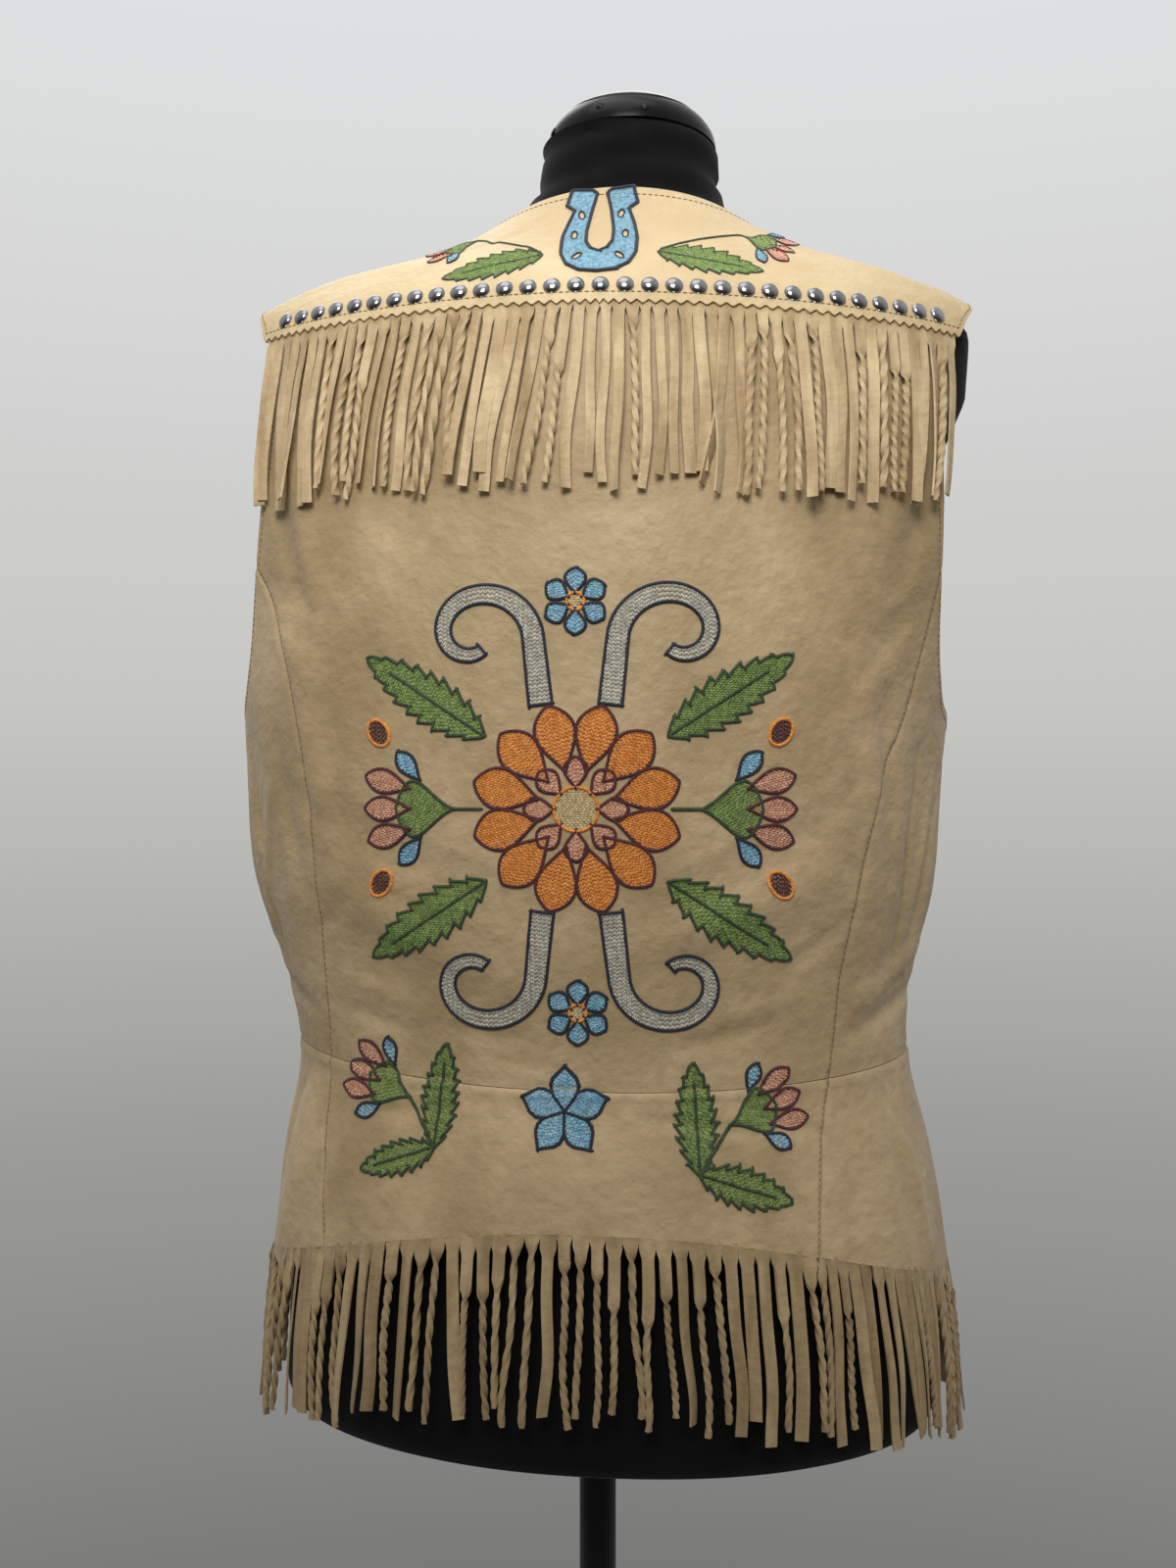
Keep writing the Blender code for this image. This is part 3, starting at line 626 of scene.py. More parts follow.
@dataclass(frozen=True)
class Finish:
    """A material with a base colour that varies softly.

    Args:
        name: The real material's name.
        colour: Base colour.
        second: Colour of the soft patches.
        roughness: Mean roughness.
        patch_mm: Size of the patches.
        grain_mm: Size of the bump's grain.
        grain_depth_mm: Depth of the bump's grain.
        metallic: 1 for a metal.
        sheen: Weight of the cloth sheen.
        coat: Weight of a clear coat.
        specular: Strength of the plain highlight, 0.5 for most stuffs.
        stretch: How much longer the patches are in height than across.
        wrinkle_mm: Size of the fine wrinkles.
        wrinkle_depth_mm: Depth of the fine wrinkles, 0 for none.
    """

    name: str
    colour: str
    second: str
    roughness: float
    patch_mm: float = 40.0
    grain_mm: float = 1.0
    grain_depth_mm: float = 0.05
    metallic: float = 0.0
    sheen: float = 0.0
    coat: float = 0.0
    specular: float = 0.5
    stretch: float = 1.0
    wrinkle_mm: float = 6.5
    wrinkle_depth_mm: float = 0.0

    def noise(self, tree: Tree, place: Socket, size_mm: float, detail: float) -> Socket:
        """A noise of one size in millimetres.

        Args:
            tree: The material's tree.
            place: Coordinates in metres.
            size_mm: Size of its lumps.
            detail: Octaves.

        Returns:
            The noise's output.
        """
        inputs = {"Vector": place, "Scale": 1000 / size_mm, "Detail": detail}
        return add_node(tree, "ShaderNodeTexNoise", inputs).outputs["Fac"]

    def colour_of(self, tree: Tree, place: Socket) -> Socket:
        """The base colour, mixed with the second one in soft patches.

        Args:
            tree: The material's tree.
            place: Coordinates in metres.

        Returns:
            The colour's socket.
        """
        squeeze = {0: place, 1: (1.0, 1.0, 1.0 / self.stretch)}
        drawn = add_node(tree, "ShaderNodeVectorMath", squeeze, operation="MULTIPLY").outputs[0]
        noise = self.noise(tree, drawn, self.patch_mm, 3.0)
        share = map_range(tree, {"Value": noise, "From Min": 0.35, "From Max": 0.68})
        return mixed(tree, share, srgb(self.colour), srgb(self.second))

    def material(self) -> bpy.types.Material:
        """The finish as a material, made once.

        Returns:
            The material.
        """
        known = bpy.data.materials.get(self.name)
        if known:
            return known
        made = bpy.data.materials.new(self.name)
        made.use_nodes = True
        tree = made.node_tree
        tree.nodes.clear()
        place = add_node(tree, "ShaderNodeTexCoord").outputs["Object"]
        spread = 0.06
        inputs = {
            "Value": self.noise(tree, place, self.patch_mm / 3, 2.0),
            "To Min": max(self.roughness - spread, 0.02),
            "To Max": self.roughness + spread,
        }
        rough = map_range(tree, inputs)
        bump = add_node(
            tree,
            "ShaderNodeBump",
            {"Height": self.noise(tree, place, self.grain_mm, 3.0), "Distance": self.grain_depth_mm * MM},
        )
        if self.wrinkle_depth_mm:
            wrinkles = self.noise(tree, place, self.wrinkle_mm, 4.0)
            inputs = {"Height": wrinkles, "Distance": self.wrinkle_depth_mm * MM}
            inputs["Normal"] = bump.outputs["Normal"]
            bump = add_node(tree, "ShaderNodeBump", inputs)
        shader = add_node(
            tree,
            "ShaderNodeBsdfPrincipled",
            {
                "Base Color": self.colour_of(tree, place),
                "Roughness": rough,
                "Normal": bump.outputs["Normal"],
                "Metallic": self.metallic,
                "Specular IOR Level": self.specular,
                "Sheen Weight": self.sheen,
                "Sheen Roughness": 0.5,
                "Coat Weight": self.coat,
                "Coat Roughness": 0.06,
            },
        )
        add_node(tree, "ShaderNodeOutputMaterial", {"Surface": shader.outputs[0]})
        return made


@dataclass(frozen=True)
class LeatherFinish(Finish):
    """Smooth suede leather: broad warm and olive patches, pores and a soft sheen.

    Args:
        third: Colour of the finer mottling.
    """

    third: str = "#a48c66"
    wrinkle_mm: float = 6.5
    wrinkle_depth_mm: float = 1.2

    def colour_of(self, tree: Tree, place: Socket) -> Socket:
        """The broad patches with a finer mottling over them.

        Args:
            tree: The material's tree.
            place: Coordinates in metres.

        Returns:
            The colour's socket.
        """
        broad = super().colour_of(tree, place)
        fine = self.noise(tree, place, 9.0, 4.0)
        share = map_range(tree, {"Value": fine, "From Min": 0.42, "From Max": 0.75, "To Max": 0.36})
        return mixed(tree, share, broad, srgb(self.third))


class Thread(Enum):
    """Embroidery threads by colour: dyed cotton, matte with a slight sheen."""

    # Each thread's second colour is lighter and goes on in random patches about a stitch wide: partly the
    # floss's uneven tone, partly painted highlights
    SKY = ("sky blue cotton thread", "#5f97b5", "#9accdf")
    NAVY = ("navy cotton thread", "#0e131d", "#1a2130")
    GREEN = ("leaf green cotton thread", "#55722c", "#8ba657")
    DARK_GREEN = ("dark green cotton thread", "#25331a", "#3a4d26")
    SALMON = ("salmon cotton thread", "#bd8063", "#e8b697")
    BURGUNDY = ("burgundy cotton thread", "#3c1216", "#5a1d22")
    ORANGE = ("orange cotton thread", "#c8731c", "#ee9d40")
    CREAM = ("cream cotton thread", "#b39a66", "#dccb9e")
    GREY = ("heather grey cotton thread", "#99978a", "#cbc7b8")

    @property
    def finish(self) -> Finish:
        """The thread's material: cotton floss, its tone varying stitch by stitch, partly the floss's own
        uneven tone and partly painted highlights and painted shade between stitches.
        """
        name, colour, second = self.value
        return Finish(name, colour, second, 0.7, patch_mm=2.2, grain_mm=0.5, grain_depth_mm=0.08, sheen=0.2)


# Smooth leather of the body, tan with soft patches
BODY_LEATHER = LeatherFinish(
    "tan suede leather",
    "#c0a77f",
    "#a38b63",
    0.62,
    patch_mm=70,
    grain_mm=0.9,
    grain_depth_mm=0.07,
    sheen=0.10,
    third="#977d55",
)
# The yoke's leather, lighter and yellower
YOKE_LEATHER = LeatherFinish(
    "cream suede leather",
    "#d3bc90",
    "#c3aa7d",
    0.58,
    patch_mm=60,
    grain_mm=0.9,
    grain_depth_mm=0.06,
    sheen=0.12,
    third="#c7ab7d",
)
# Cut strips of the same hide, with their raw edges
FRINGE_LEATHER = LeatherFinish(
    "cut fringe leather",
    "#cfb78d",
    "#a88d64",
    0.66,
    patch_mm=9,
    grain_mm=0.9,
    grain_depth_mm=0.05,
    sheen=0.10,
    third="#a88d62",
    stretch=9.0,
)
# The hem's strips, cut from the darker body leather
HEM_LEATHER = LeatherFinish(
    "cut skirt leather",
    "#b39a72",
    "#8d7650",
    0.66,
    patch_mm=9,
    grain_mm=0.9,
    grain_depth_mm=0.05,
    sheen=0.08,
    third="#937a53",
    stretch=9.0,
)
# Waxed cotton topstitching
STITCHING = Finish(
    "tan cotton topstitching", "#7d6440", "#8f7650", 0.7, patch_mm=3, grain_mm=0.4, grain_depth_mm=0.04
)
# Dark polished nickel of the dome studs
NICKEL = Finish(
    "dark polished nickel", "#98989a", "#868689", 0.17, grain_mm=4, grain_depth_mm=0.01, metallic=1.0
)
# Black cotton jersey of the form's cover
JERSEY = Finish(
    "black cotton jersey",
    "#0c0c0d",
    "#101011",
    0.9,
    patch_mm=30,
    grain_mm=0.8,
    grain_depth_mm=0.12,
    sheen=0.04,
    specular=0.12,
)
# Glossy moulded plastic of the neck cap
CAP_PLASTIC = Finish(
    "black gloss plastic", "#0b0b0c", "#0e0e0f", 0.25, grain_mm=6, grain_depth_mm=0.01, specular=0.14
)
# Satin paint of the pole and the base plate
STAND_PAINT = Finish(
    "black satin paint on steel", "#070708", "#0a0a0b", 0.4, grain_mm=2, grain_depth_mm=0.02, specular=0.2
)
# Matt pale floor
FLOOR_PAINT = Finish(
    "matt pale grey floor paint", "#c9c9c7", "#c4c4c2", 0.9, patch_mm=400, grain_mm=3, grain_depth_mm=0.02
)


def show(name: str, mesh: Mesh, finish: Finish) -> Piece:
    """Shows a mesh as a piece that rides on the vest's body.

    Args:
        name: The piece's name.
        mesh: Its mesh, in the row's frame.
        finish: Its material.

    Returns:
        The piece.
    """
    mesh.name = name
    mesh.materials.append(finish.material())
    mesh.shade_smooth()
    piece = bpy.data.objects.new(name, mesh)
    bpy.context.scene.collection.objects.link(piece)
    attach(piece, BODY)
    log.info("%s: %d faces", name, len(mesh.polygons))
    return piece


def grid(bm: bmesh.types.BMesh, columns: int, rows: int, surface: Surface) -> list[bmesh.types.BMVert]:
    """Adds a grid that follows a surface.

    Args:
        bm: The mesh to add to.
        columns: Faces across.
        rows: Faces up.
        surface: Gives places from shares across and up.

    Returns:
        The grid's vertices.
    """
    verts = bmesh.ops.create_grid(bm, x_segments=columns, y_segments=rows, size=0.5)["verts"]
    flat = np.array([vert.co[:2] for vert in verts]) + 0.5
    for vert, place in zip(verts, surface(flat[:, 0], flat[:, 1]).tolist()):
        vert.co = place
    return verts


def as_mesh(bm: bmesh.types.BMesh) -> Mesh:
    """The finished bmesh as a mesh.

    Args:
        bm: The bmesh; it is freed.

    Returns:
        The mesh.
    """
    mesh = bpy.data.meshes.new("mesh")
    bm.to_mesh(mesh)
    bm.free()
    return mesh


def face_out(bm: bmesh.types.BMesh) -> None:
    """Turns an open shell's faces away from the body's axis.

    Args:
        bm: The shell.
    """
    bmesh.ops.recalc_face_normals(bm, faces=bm.faces)
    facing = sum(face.normal.dot(face.calc_center_median() * Vector((1, 1, 0))) for face in bm.faces)
    if facing < 0:
        bmesh.ops.reverse_faces(bm, faces=bm.faces)


def copies(template: Mesh, places: Array) -> Mesh:
    """One mesh of many copies of a template.

    Args:
        template: The mesh to copy; it is removed.
        places: The place of each vertex of each copy, copies first.

    Returns:
        The mesh.
    """
    count, size, _ = places.shape
    corners = np.empty(len(template.loops), int)
    template.loops.foreach_get("vertex_index", corners)
    starts = np.empty(len(template.polygons), int)
    template.polygons.foreach_get("loop_start", starts)
    copy = np.arange(count)[:, None]
    mesh = bpy.data.meshes.new("copies")
    mesh.vertices.add(count * size)
    mesh.vertices.foreach_set("co", places.reshape(-1).astype(np.float32))
    mesh.loops.add(count * len(corners))
    mesh.loops.foreach_set("vertex_index", (corners + copy * size).reshape(-1).astype(np.int32))
    mesh.polygons.add(count * len(starts))
    mesh.polygons.foreach_set("loop_start", (starts + copy * len(corners)).reshape(-1).astype(np.int32))
    mesh.update(calc_edges=True)
    bpy.data.meshes.remove(template)
    return mesh


@dataclass
class Frames:
    """Places on a surface, each with a direction along it and one out of it."""

    places: Array
    along: Array
    out: Array

    @staticmethod
    def on(surface: Surface, angle: Array, height: Array, step_angle: Array, step_height: Array) -> "Frames":
        """Frames on a surface.

        Args:
            surface: Gives places from angles and heights.
            angle: Angles of the frames.
            height: Heights of the frames.
            step_angle: Change of angle along each frame.
            step_height: Change of height along each frame.

        Returns:
            The frames.
        """
        places = surface(angle, height)
        ahead = surface(angle + step_angle, height + step_height)
        beside = surface(angle + 0.25, height) - surface(angle - 0.25, height)
        above = surface(angle, height + 0.001) - surface(angle, height - 0.001)
        out = unit(np.cross(above, beside))
        along = unit(ahead - places)
        along = unit(along - out * np.sum(along * out, -1, keepdims=True))
        return Frames(places, along, out)

    def stamp(self, template: Mesh, size: Array | float = 1.0) -> Mesh:
        """Copies a template to every frame.

        Args:
            template: A mesh along x, with z out of the surface.
            size: Scale of each copy.

        Returns:
            The mesh of copies.
        """
        flat = np.array([vert.co[:] for vert in template.vertices])
        scaled = np.broadcast_to(size, len(self.places))[:, None, None] * flat
        across = np.cross(self.out, self.along)
        places = self.places[:, None]
        for axis, way in enumerate((self.along, across, self.out)):
            places = places + scaled[..., axis, None] * way[:, None]
        return copies(template, places)


def walk(places: Array, step: float) -> Array:
    """Places along a line at even steps, as indices with fractions into its points.

    Args:
        places: Points of the line.
        step: Distance between the places.

    Returns:
        Fractional indices.
    """
    run = run_along(places)
    count = max(int(run[-1] / step), 1)
    return np.interp((np.arange(count) + 0.5) * run[-1] / count, run, np.arange(len(run)))


def pick(values: Array, index: Array) -> Array:
    """Values at fractional indices."""
    return np.interp(index, np.arange(len(values)), values)


def stitch_template(length: float, width: float, height: float, sides: int = 6) -> Mesh:
    """A raised stitch along x, half sunk in the leather.

    Args:
        length: Length in metres.
        width: Width in metres.
        height: Height above its middle.
        sides: Sides of its section.

    Returns:
        The stitch.
    """
    bm = bmesh.new()
    bmesh.ops.create_uvsphere(bm, u_segments=sides, v_segments=4, radius=1.0)
    bmesh.ops.rotate(bm, verts=bm.verts, matrix=Matrix.Rotation(math.pi / 2, 3, "Y"))
    bmesh.ops.scale(bm, vec=(length / 2, width / 2, height), verts=bm.verts)
    return as_mesh(bm)


def topstitching(name: str, surface: Surface, lines: Sequence[tuple[Array, Array]]) -> Piece:
    """Rows of topstitching.

    Args:
        name: The piece's name.
        surface: Gives places from angles and heights.
        lines: Angles and heights of each row.

    Returns:
        The piece.
    """
    spacing, length, width, height_out = 0.0034, 0.0027, 0.00095, 0.0004
    angles, heights, step_angles, step_heights = [], [], [], []
    for angle, height in lines:
        index = walk(surface(angle, height), spacing)
        ahead = np.minimum(index + 0.2, len(angle) - 1)
        behind = ahead - 0.2
        angles.append(pick(angle, behind))
        heights.append(pick(height, behind))
        step_angles.append(pick(angle, ahead) - angles[-1])
        step_heights.append(pick(height, ahead) - heights[-1])
    frames = Frames.on(surface, *map(np.concatenate, (angles, heights, step_angles, step_heights)))
    mesh = frames.stamp(stitch_template(length, width, height_out))
    return show(name, mesh, STITCHING)


@dataclass
class Sheet:
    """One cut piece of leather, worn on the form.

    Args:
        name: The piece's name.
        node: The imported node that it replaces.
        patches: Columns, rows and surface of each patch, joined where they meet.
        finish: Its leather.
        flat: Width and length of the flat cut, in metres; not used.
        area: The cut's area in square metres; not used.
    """

    name: str
    node: str
    patches: Sequence[tuple[int, int, Surface]]
    finish: Finish
    flat: tuple[float, float]
    area: float | None = None
    on_it: list[Piece] = field(default_factory=list)

    def build(self) -> Piece:
        """Returns:
            The piece.
        """
        bm = bmesh.new()
        for columns, rows, surface in self.patches:
            grid(bm, columns, rows, surface)
        bmesh.ops.remove_doubles(bm, verts=bm.verts, dist=0.00005)
        for edge in bm.edges:
            edge.smooth = not edge.is_boundary
        face_out(bm)
        outer = sum(face.calc_area() for face in bm.faces)
        piece = show(self.name, as_mesh(bm), self.finish)
        wall = piece.modifiers.new("leather wall", "SOLIDIFY")
        wall.thickness = LEATHER
        wall.offset = -1.0
        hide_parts(self.node)
        log.info("%s: cloth area %.4f m2", self.name, outer)
        return piece


class Vest:
    """The cut pieces of the vest and their topstitching.

    Args:
        body: The surface that they follow.
    """

    def __init__(self, body: LeatherBody) -> None:
        self.body = body

    def between(self, left: Line, right: Line, bottom: Line, top: Line) -> Surface:
        """A patch between two seams given as angles and two given as heights.

        Args:
            left: Angle of the seam where the patch starts, by height.
            right: Angle of the seam where it ends, by height.
            bottom: Height of the lower seam, by angle.
            top: Height of the upper seam, by angle.

        Returns:
            The patch's surface.
        """

        def meets(level: Line, share: Array) -> Array:
            """The height where a line of shares crosses a level, found by halving."""
            under, over = np.full_like(share, HEM_LOWEST), np.full_like(share, YOKE_EDGE)
            for _ in range(24):
                height = (under + over) / 2
                above = height > level(left(height) + (right(height) - left(height)) * share)
                under, over = np.where(above, under, height), np.where(above, height, over)
            return (under + over) / 2

        def surface(u: Array, v: Array) -> Array:
            low, high = meets(bottom, u) + HALF_GAP, meets(top, u) - HALF_GAP
            height = low + (high - low) * v
            start, end = left(height) + SEAM_SHARE_ANGLE, right(height) - SEAM_SHARE_ANGLE
            return self.body.leather(start + (end - start) * u, height)

        return surface

    def back(self) -> list[Piece]:
        """The centre back above the waist and the skirt below it.

        Returns:
            Both pieces.
        """
        seams = (lambda h: princess_at(Side.RIGHT, h), lambda h: princess_at(Side.LEFT, h))
        below = self.between(*seams, waist_at, lambda angle: np.full_like(angle, PRINCESS_TOP + HALF_GAP))

        def above(u: Array, v: Array) -> Array:
            """The part between the armholes."""
            height = PRINCESS_TOP + (YOKE_EDGE + PANEL_UNDER_YOKE - PRINCESS_TOP) * v
            return self.body.leather((2 * u - 1) * (armhole_at(1, height) - SEAM_SHARE_ANGLE), height)

        columns = 132
        body = [(columns, 92, below), (columns, 42, above)]
        skirt = [(columns, 30, self.between(*seams, hem_at, waist_at))]
        return [
            Sheet("leather_back_centre", "back_centre", body, BODY_LEATHER, (0.42, 0.43), 0.151).build(),
            Sheet("leather_skirt_back", "skirt_back", skirt, BODY_LEATHER, (0.33, 0.085), 0.0233).build(),
        ]

    def side_back(self, side: Side) -> list[Piece]:
        """The side back above the waist and the skirt below it.

        Args:
            side: The wearer's side.

        Returns:
            Both pieces.
        """

        def seam(height: Array) -> Array:
            """The princess seam."""
            return princess_at(side, height)

        def side_seam(height: Array) -> Array:
            """The side seam."""
            return np.full_like(height, 90.0 * side.value)

        lines = (seam, side_seam) if side is Side.LEFT else (side_seam, seam)
        panel = self.between(*lines, waist_at, lambda angle: underarm_at(1, angle))
        skirt = self.between(*lines, hem_at, waist_at)
        skirt_cut = ((0.145, 0.105), 0.0110) if side is Side.LEFT else ((0.185, 0.110), 0.0145)
        return [
            Sheet(
                f"leather_side_{side.word}",
                f"back_side_{side.word}",
                [(48, 80, panel)],
                BODY_LEATHER,
                (0.150, 0.215),
                0.0220,
            ).build(),
            Sheet(
                f"leather_skirt_side_{side.word}",
                f"skirt_side_{side.word}",
                [(56, 34, skirt)],
                BODY_LEATHER,
                *skirt_cut,
            ).build(),
        ]

    def front(self, side: Side) -> list[Piece]:
        """The front up to the shoulder seam and the skirt below it.

        Args:
            side: The wearer's side.

        Returns:
            Both pieces.
        """
        sign = side.value
        dart = FRONT_DART_ANGLE

        def lower(first: float, last: Line, to_armhole: bool) -> Surface:
            """A part below the armhole or beside it."""

            def surface(u: Array, v: Array) -> Array:
                share = u if side is Side.LEFT else 1 - u
                at_waist = first + (last(np.full_like(u, WAIST)) - first) * share
                high = underarm_at(2, at_waist) if to_armhole else np.full_like(u, PRINCESS_TOP)
                low = waist_at(at_waist) + HALF_GAP
                height = low + (high - low) * v
                return self.body.leather(sign * (first + (last(height) - first) * share), height)

            return surface

        def upper(u: Array, v: Array) -> Array:
            """The part between the armhole and the V neck."""
            share = u if side is Side.LEFT else 1 - u
            height = PRINCESS_TOP + (NECK_SIDE - PRINCESS_TOP) * v
            inner = np.where(height < SHOULDER_TIP, armhole_at(2, height), 90.3)
            return self.body.leather(sign * (inner + (front_edge_at(height) - inner) * share), height)

        patches = [
            (24, 60, lower(90.0 + SEAM_SHARE_ANGLE, lambda h: np.full_like(h, dart), True)),
            (48, 60, lower(dart, front_edge_at, False)),
            (48, 50, upper),
        ]

        def side_seam(height: Array) -> Array:
            """The side seam."""
            return np.full_like(height, 90.0 * sign)

        def centre(height: Array) -> Array:
            """The centre front edge."""
            return sign * front_edge_at(height)

        lines = (side_seam, centre) if side is Side.LEFT else (centre, side_seam)
        skirt = self.between(*lines, hem_at, waist_at)
        return [
            Sheet(
                f"leather_front_{side.word}",
                f"front_{side.word}",
                patches,
                BODY_LEATHER,
                (0.31, 0.50),
                0.095,
            ).build(),
            Sheet(
                f"leather_skirt_front_{side.word}",
                f"skirt_front_{side.word}",
                [(70, 28, skirt)],
                BODY_LEATHER,
                (0.300, 0.118),
                0.0292,
            ).build(),
        ]

    def yoke(self) -> Piece:
        """The yoke, its lower edge pinked in small points.

        Returns:
            The piece.
        """
        points, half_run_mm, depth_mm = 7.0, 226.0, 2.4

        def surface(u: Array, v: Array) -> Array:
            share = 2 * u - 1
            angle, height = self.body.yoke_angles(share, YOKE_EDGE + (NECK_SIDE - YOKE_EDGE) * v**1.3)
            wave = np.abs((share * half_run_mm / points) % 1 - 0.5) * 2 - 0.5
            drop = depth_mm * wave * (1 - smooth_step(height - YOKE_EDGE, 0.0, 0.006))
            return self.body.yoke(angle, height - drop * MM)

        patches = [(390, 44, surface)]
        return Sheet("leather_yoke", "back_yoke", patches, YOKE_LEATHER, (0.46, 0.115), 0.0477).build()

    def stitching(self) -> list[Piece]:
        """Rows of topstitching along seams, armholes, neck and front edges.

        Returns:
            The panels' stitching and the yoke's.
        """
        beside_seam, beside_edge, below_arm = 0.6, 1.3, 0.0050
        rows = []
        for side in Side:
            sign = side.value
            low = np.linspace(0.66, PRINCESS_TOP, 120)
            rows.append((princess_at(side, low) - sign * beside_seam, low))
            under = np.linspace(61.5, 89.5, 60)
            rows.append((sign * under, underarm_at(1, under) - below_arm))
            high = np.linspace(PRINCESS_TOP, YOKE_EDGE, 60)
            rows.append((sign * (armhole_at(1, high) - beside_edge), high))
            front = np.linspace(90.5, 115.5, 60)
            rows.append((sign * front, underarm_at(2, front) - below_arm))
            beside_arm = np.linspace(PRINCESS_TOP, 1.192, 80)
            rows.append((sign * (armhole_at(2, beside_arm) + beside_edge), beside_arm))
            edge = np.linspace(0.640, 1.232, 240)
            rows.append((sign * (front_edge_at(edge) - beside_edge), edge))
        plain = topstitching("stitching_panels", self.body.leather, rows)
        share = np.linspace(-0.985, 0.985, 400)
        rows = [
            self.body.yoke_angles(share, np.full_like(share, YOKE_EDGE + 0.0042)),
            self.body.yoke_angles(share, np.full_like(share, NECK_SIDE - 0.0040)),
        ]
        for sign in (-1, 1):
            level = np.linspace(YOKE_EDGE + 0.003, 1.193, 40)
            rows.append((sign * (armhole_at(1, level) - beside_edge), level))
        return [plain, topstitching("stitching_yoke", self.body.yoke, rows)]


@dataclass
class Fringe:
    """Hanging strands, some flat and some rolled, cut from a band of leather.

    Args:
        name: The piece's name.
        node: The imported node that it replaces.
        body: The surface that it hangs on.
        finish: Its leather.
        angles: Angle of each strand.
        top: Height of the band's upper edge, by angle.
        band: Height of the uncut band in metres, from each strand's root.
        lift: Distance of the strands' middle outside the leather.
        length: Mean length of the strands from their roots.
        pitch: Width of a strand at its root, where it touches the next one.
        seed: Seed of their variation.
    """

    name: str
    node: str
    body: LeatherBody
    finish: Finish
    angles: Array
    top: Line
    band: float
    lift: float
    length: float
    pitch: float
    seed: int
    cuts: int = 44
    rolled_share: float = 0.42

    def template(self) -> Mesh:
        """A straight strand from z 0.5 at its root to -0.5, cut along its length.

        Returns:
            The strand.
        """
        bm = bmesh.new()
        bmesh.ops.create_cube(bm, size=1.0)
        long_edges = [e for e in bm.edges if abs(e.verts[0].co.z - e.verts[1].co.z) > 0.5]
        bmesh.ops.subdivide_edges(bm, edges=long_edges, cuts=self.cuts, use_grid_fill=True)
        return as_mesh(bm)

    def strands(self) -> Mesh:
        """All strands, bent, rolled and swinging along their paths.

        Returns:
            One mesh of all strands.
        """
        dice = np.random.default_rng(self.seed)
        column = (len(self.angles), 1)
        start = self.angles[:, None]
        rolled = dice.random(column) < self.rolled_share
        turns = np.where(rolled, dice.uniform(1.7, 3.3, column), dice.uniform(-0.12, 0.12, column))
        turns *= np.where(dice.random(column) < 0.5, -1, 1)
        begin = np.where(rolled, dice.uniform(0.02, 0.4, column), 0.05)
        drift = dice.normal(0, 2.1, column) + 1.8 * np.sin(start * 0.21 + self.seed)
        drift = np.where(dice.random(column) < 0.10, drift * 2.5, drift)
        sway, sway_start = dice.uniform(0.2, 1.7, column), dice.uniform(0, 6, column)
        swing = np.where(rolled, dice.uniform(1.2, 3.8, column), dice.uniform(0.6, 3.2, column)) * MM
        curl = np.where(dice.random(column) < 0.3, dice.uniform(1, 7, column), 0.3) * MM
        length = self.length * dice.uniform(0.93, 1.05, column)
        tilt = dice.uniform(-0.45, 0.45, column)
        rolled_mm, flat_share = dice.uniform(2.8, 3.7, column), dice.uniform(0.62, 0.92, column)
        low_width = np.where(rolled, rolled_mm, flat_share * self.pitch / MM) * MM
        cut = self.band + dice.uniform(-0.0015, 0.0055, column)
        template = self.template()
        flat = np.array([vert.co[:] for vert in template.vertices])
        share = (0.5 - flat[:, 2])[None, :]
        root = self.top(start)
        out = self.body.normal(start, root)
        rise = self.body.rise(start, root) + self.lift

        def path(t: Array) -> Array:
            """Places of the strands' middles at a share of their length."""
            fall = np.maximum(t * length - cut, 0) / self.length
            aside = drift * fall**1.4 + sway * np.sin(8 * fall + sway_start) * fall
            lift = rise + swing * np.sin(0.7 * np.pi * np.clip(fall, 0, 1)) + curl * fall**3
            return self.body.off(start + aside / ARC_PER_DEGREE_MM, root - length * t, lift)

        middle = path(share)
        along = unit(path(share - 0.01) - path(share + 0.01))
        across = unit(np.cross(np.broadcast_to(out, along.shape), along))
        face = np.cross(along, across)
        free = smooth_step(share * length, cut, cut + 0.0055)
        spin = np.clip((share - begin) / (1 - begin), 0, 1) * free
        turn = 2 * np.pi * turns * spin + tilt * free
        narrow = np.where(rolled, np.maximum(smooth_step(spin, 0.0, 0.12), 0.45 * free), free)
        width = self.pitch + (low_width - self.pitch) * narrow
        thickness = (1.4 + np.where(rolled, 1.0, -0.3) * narrow) * MM
        x, y = width * flat[None, :, 0], thickness * flat[None, :, 1]
        sideways = (x * np.cos(turn) - y * np.sin(turn))[..., None] * across
        outwards = (x * np.sin(turn) + y * np.cos(turn))[..., None] * face
        return copies(template, middle + sideways + outwards)

    def build(self) -> Piece:
        """Builds all strands as one piece.

        Returns:
            The piece.
        """
        piece = show(self.name, self.strands(), self.finish)
        piece.data.set_sharp_from_angle(angle=math.radians(50))
        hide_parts(self.node)
        return piece


def spaced(body: LeatherBody, start: float, end: float, height: float, count: int) -> Array:
    """Angles spaced evenly along a level section of the body.

    Args:
        body: The body.
        start: First angle.
        end: Last angle.
        height: The section's height.
        count: Number of angles.

    Returns:
        The angles.
    """
    angles = np.linspace(start, end, 400)
    places = body.point(angles, np.full_like(angles, height))
    run = run_along(places)
    return np.interp(np.linspace(0, run[-1], count), run, angles)


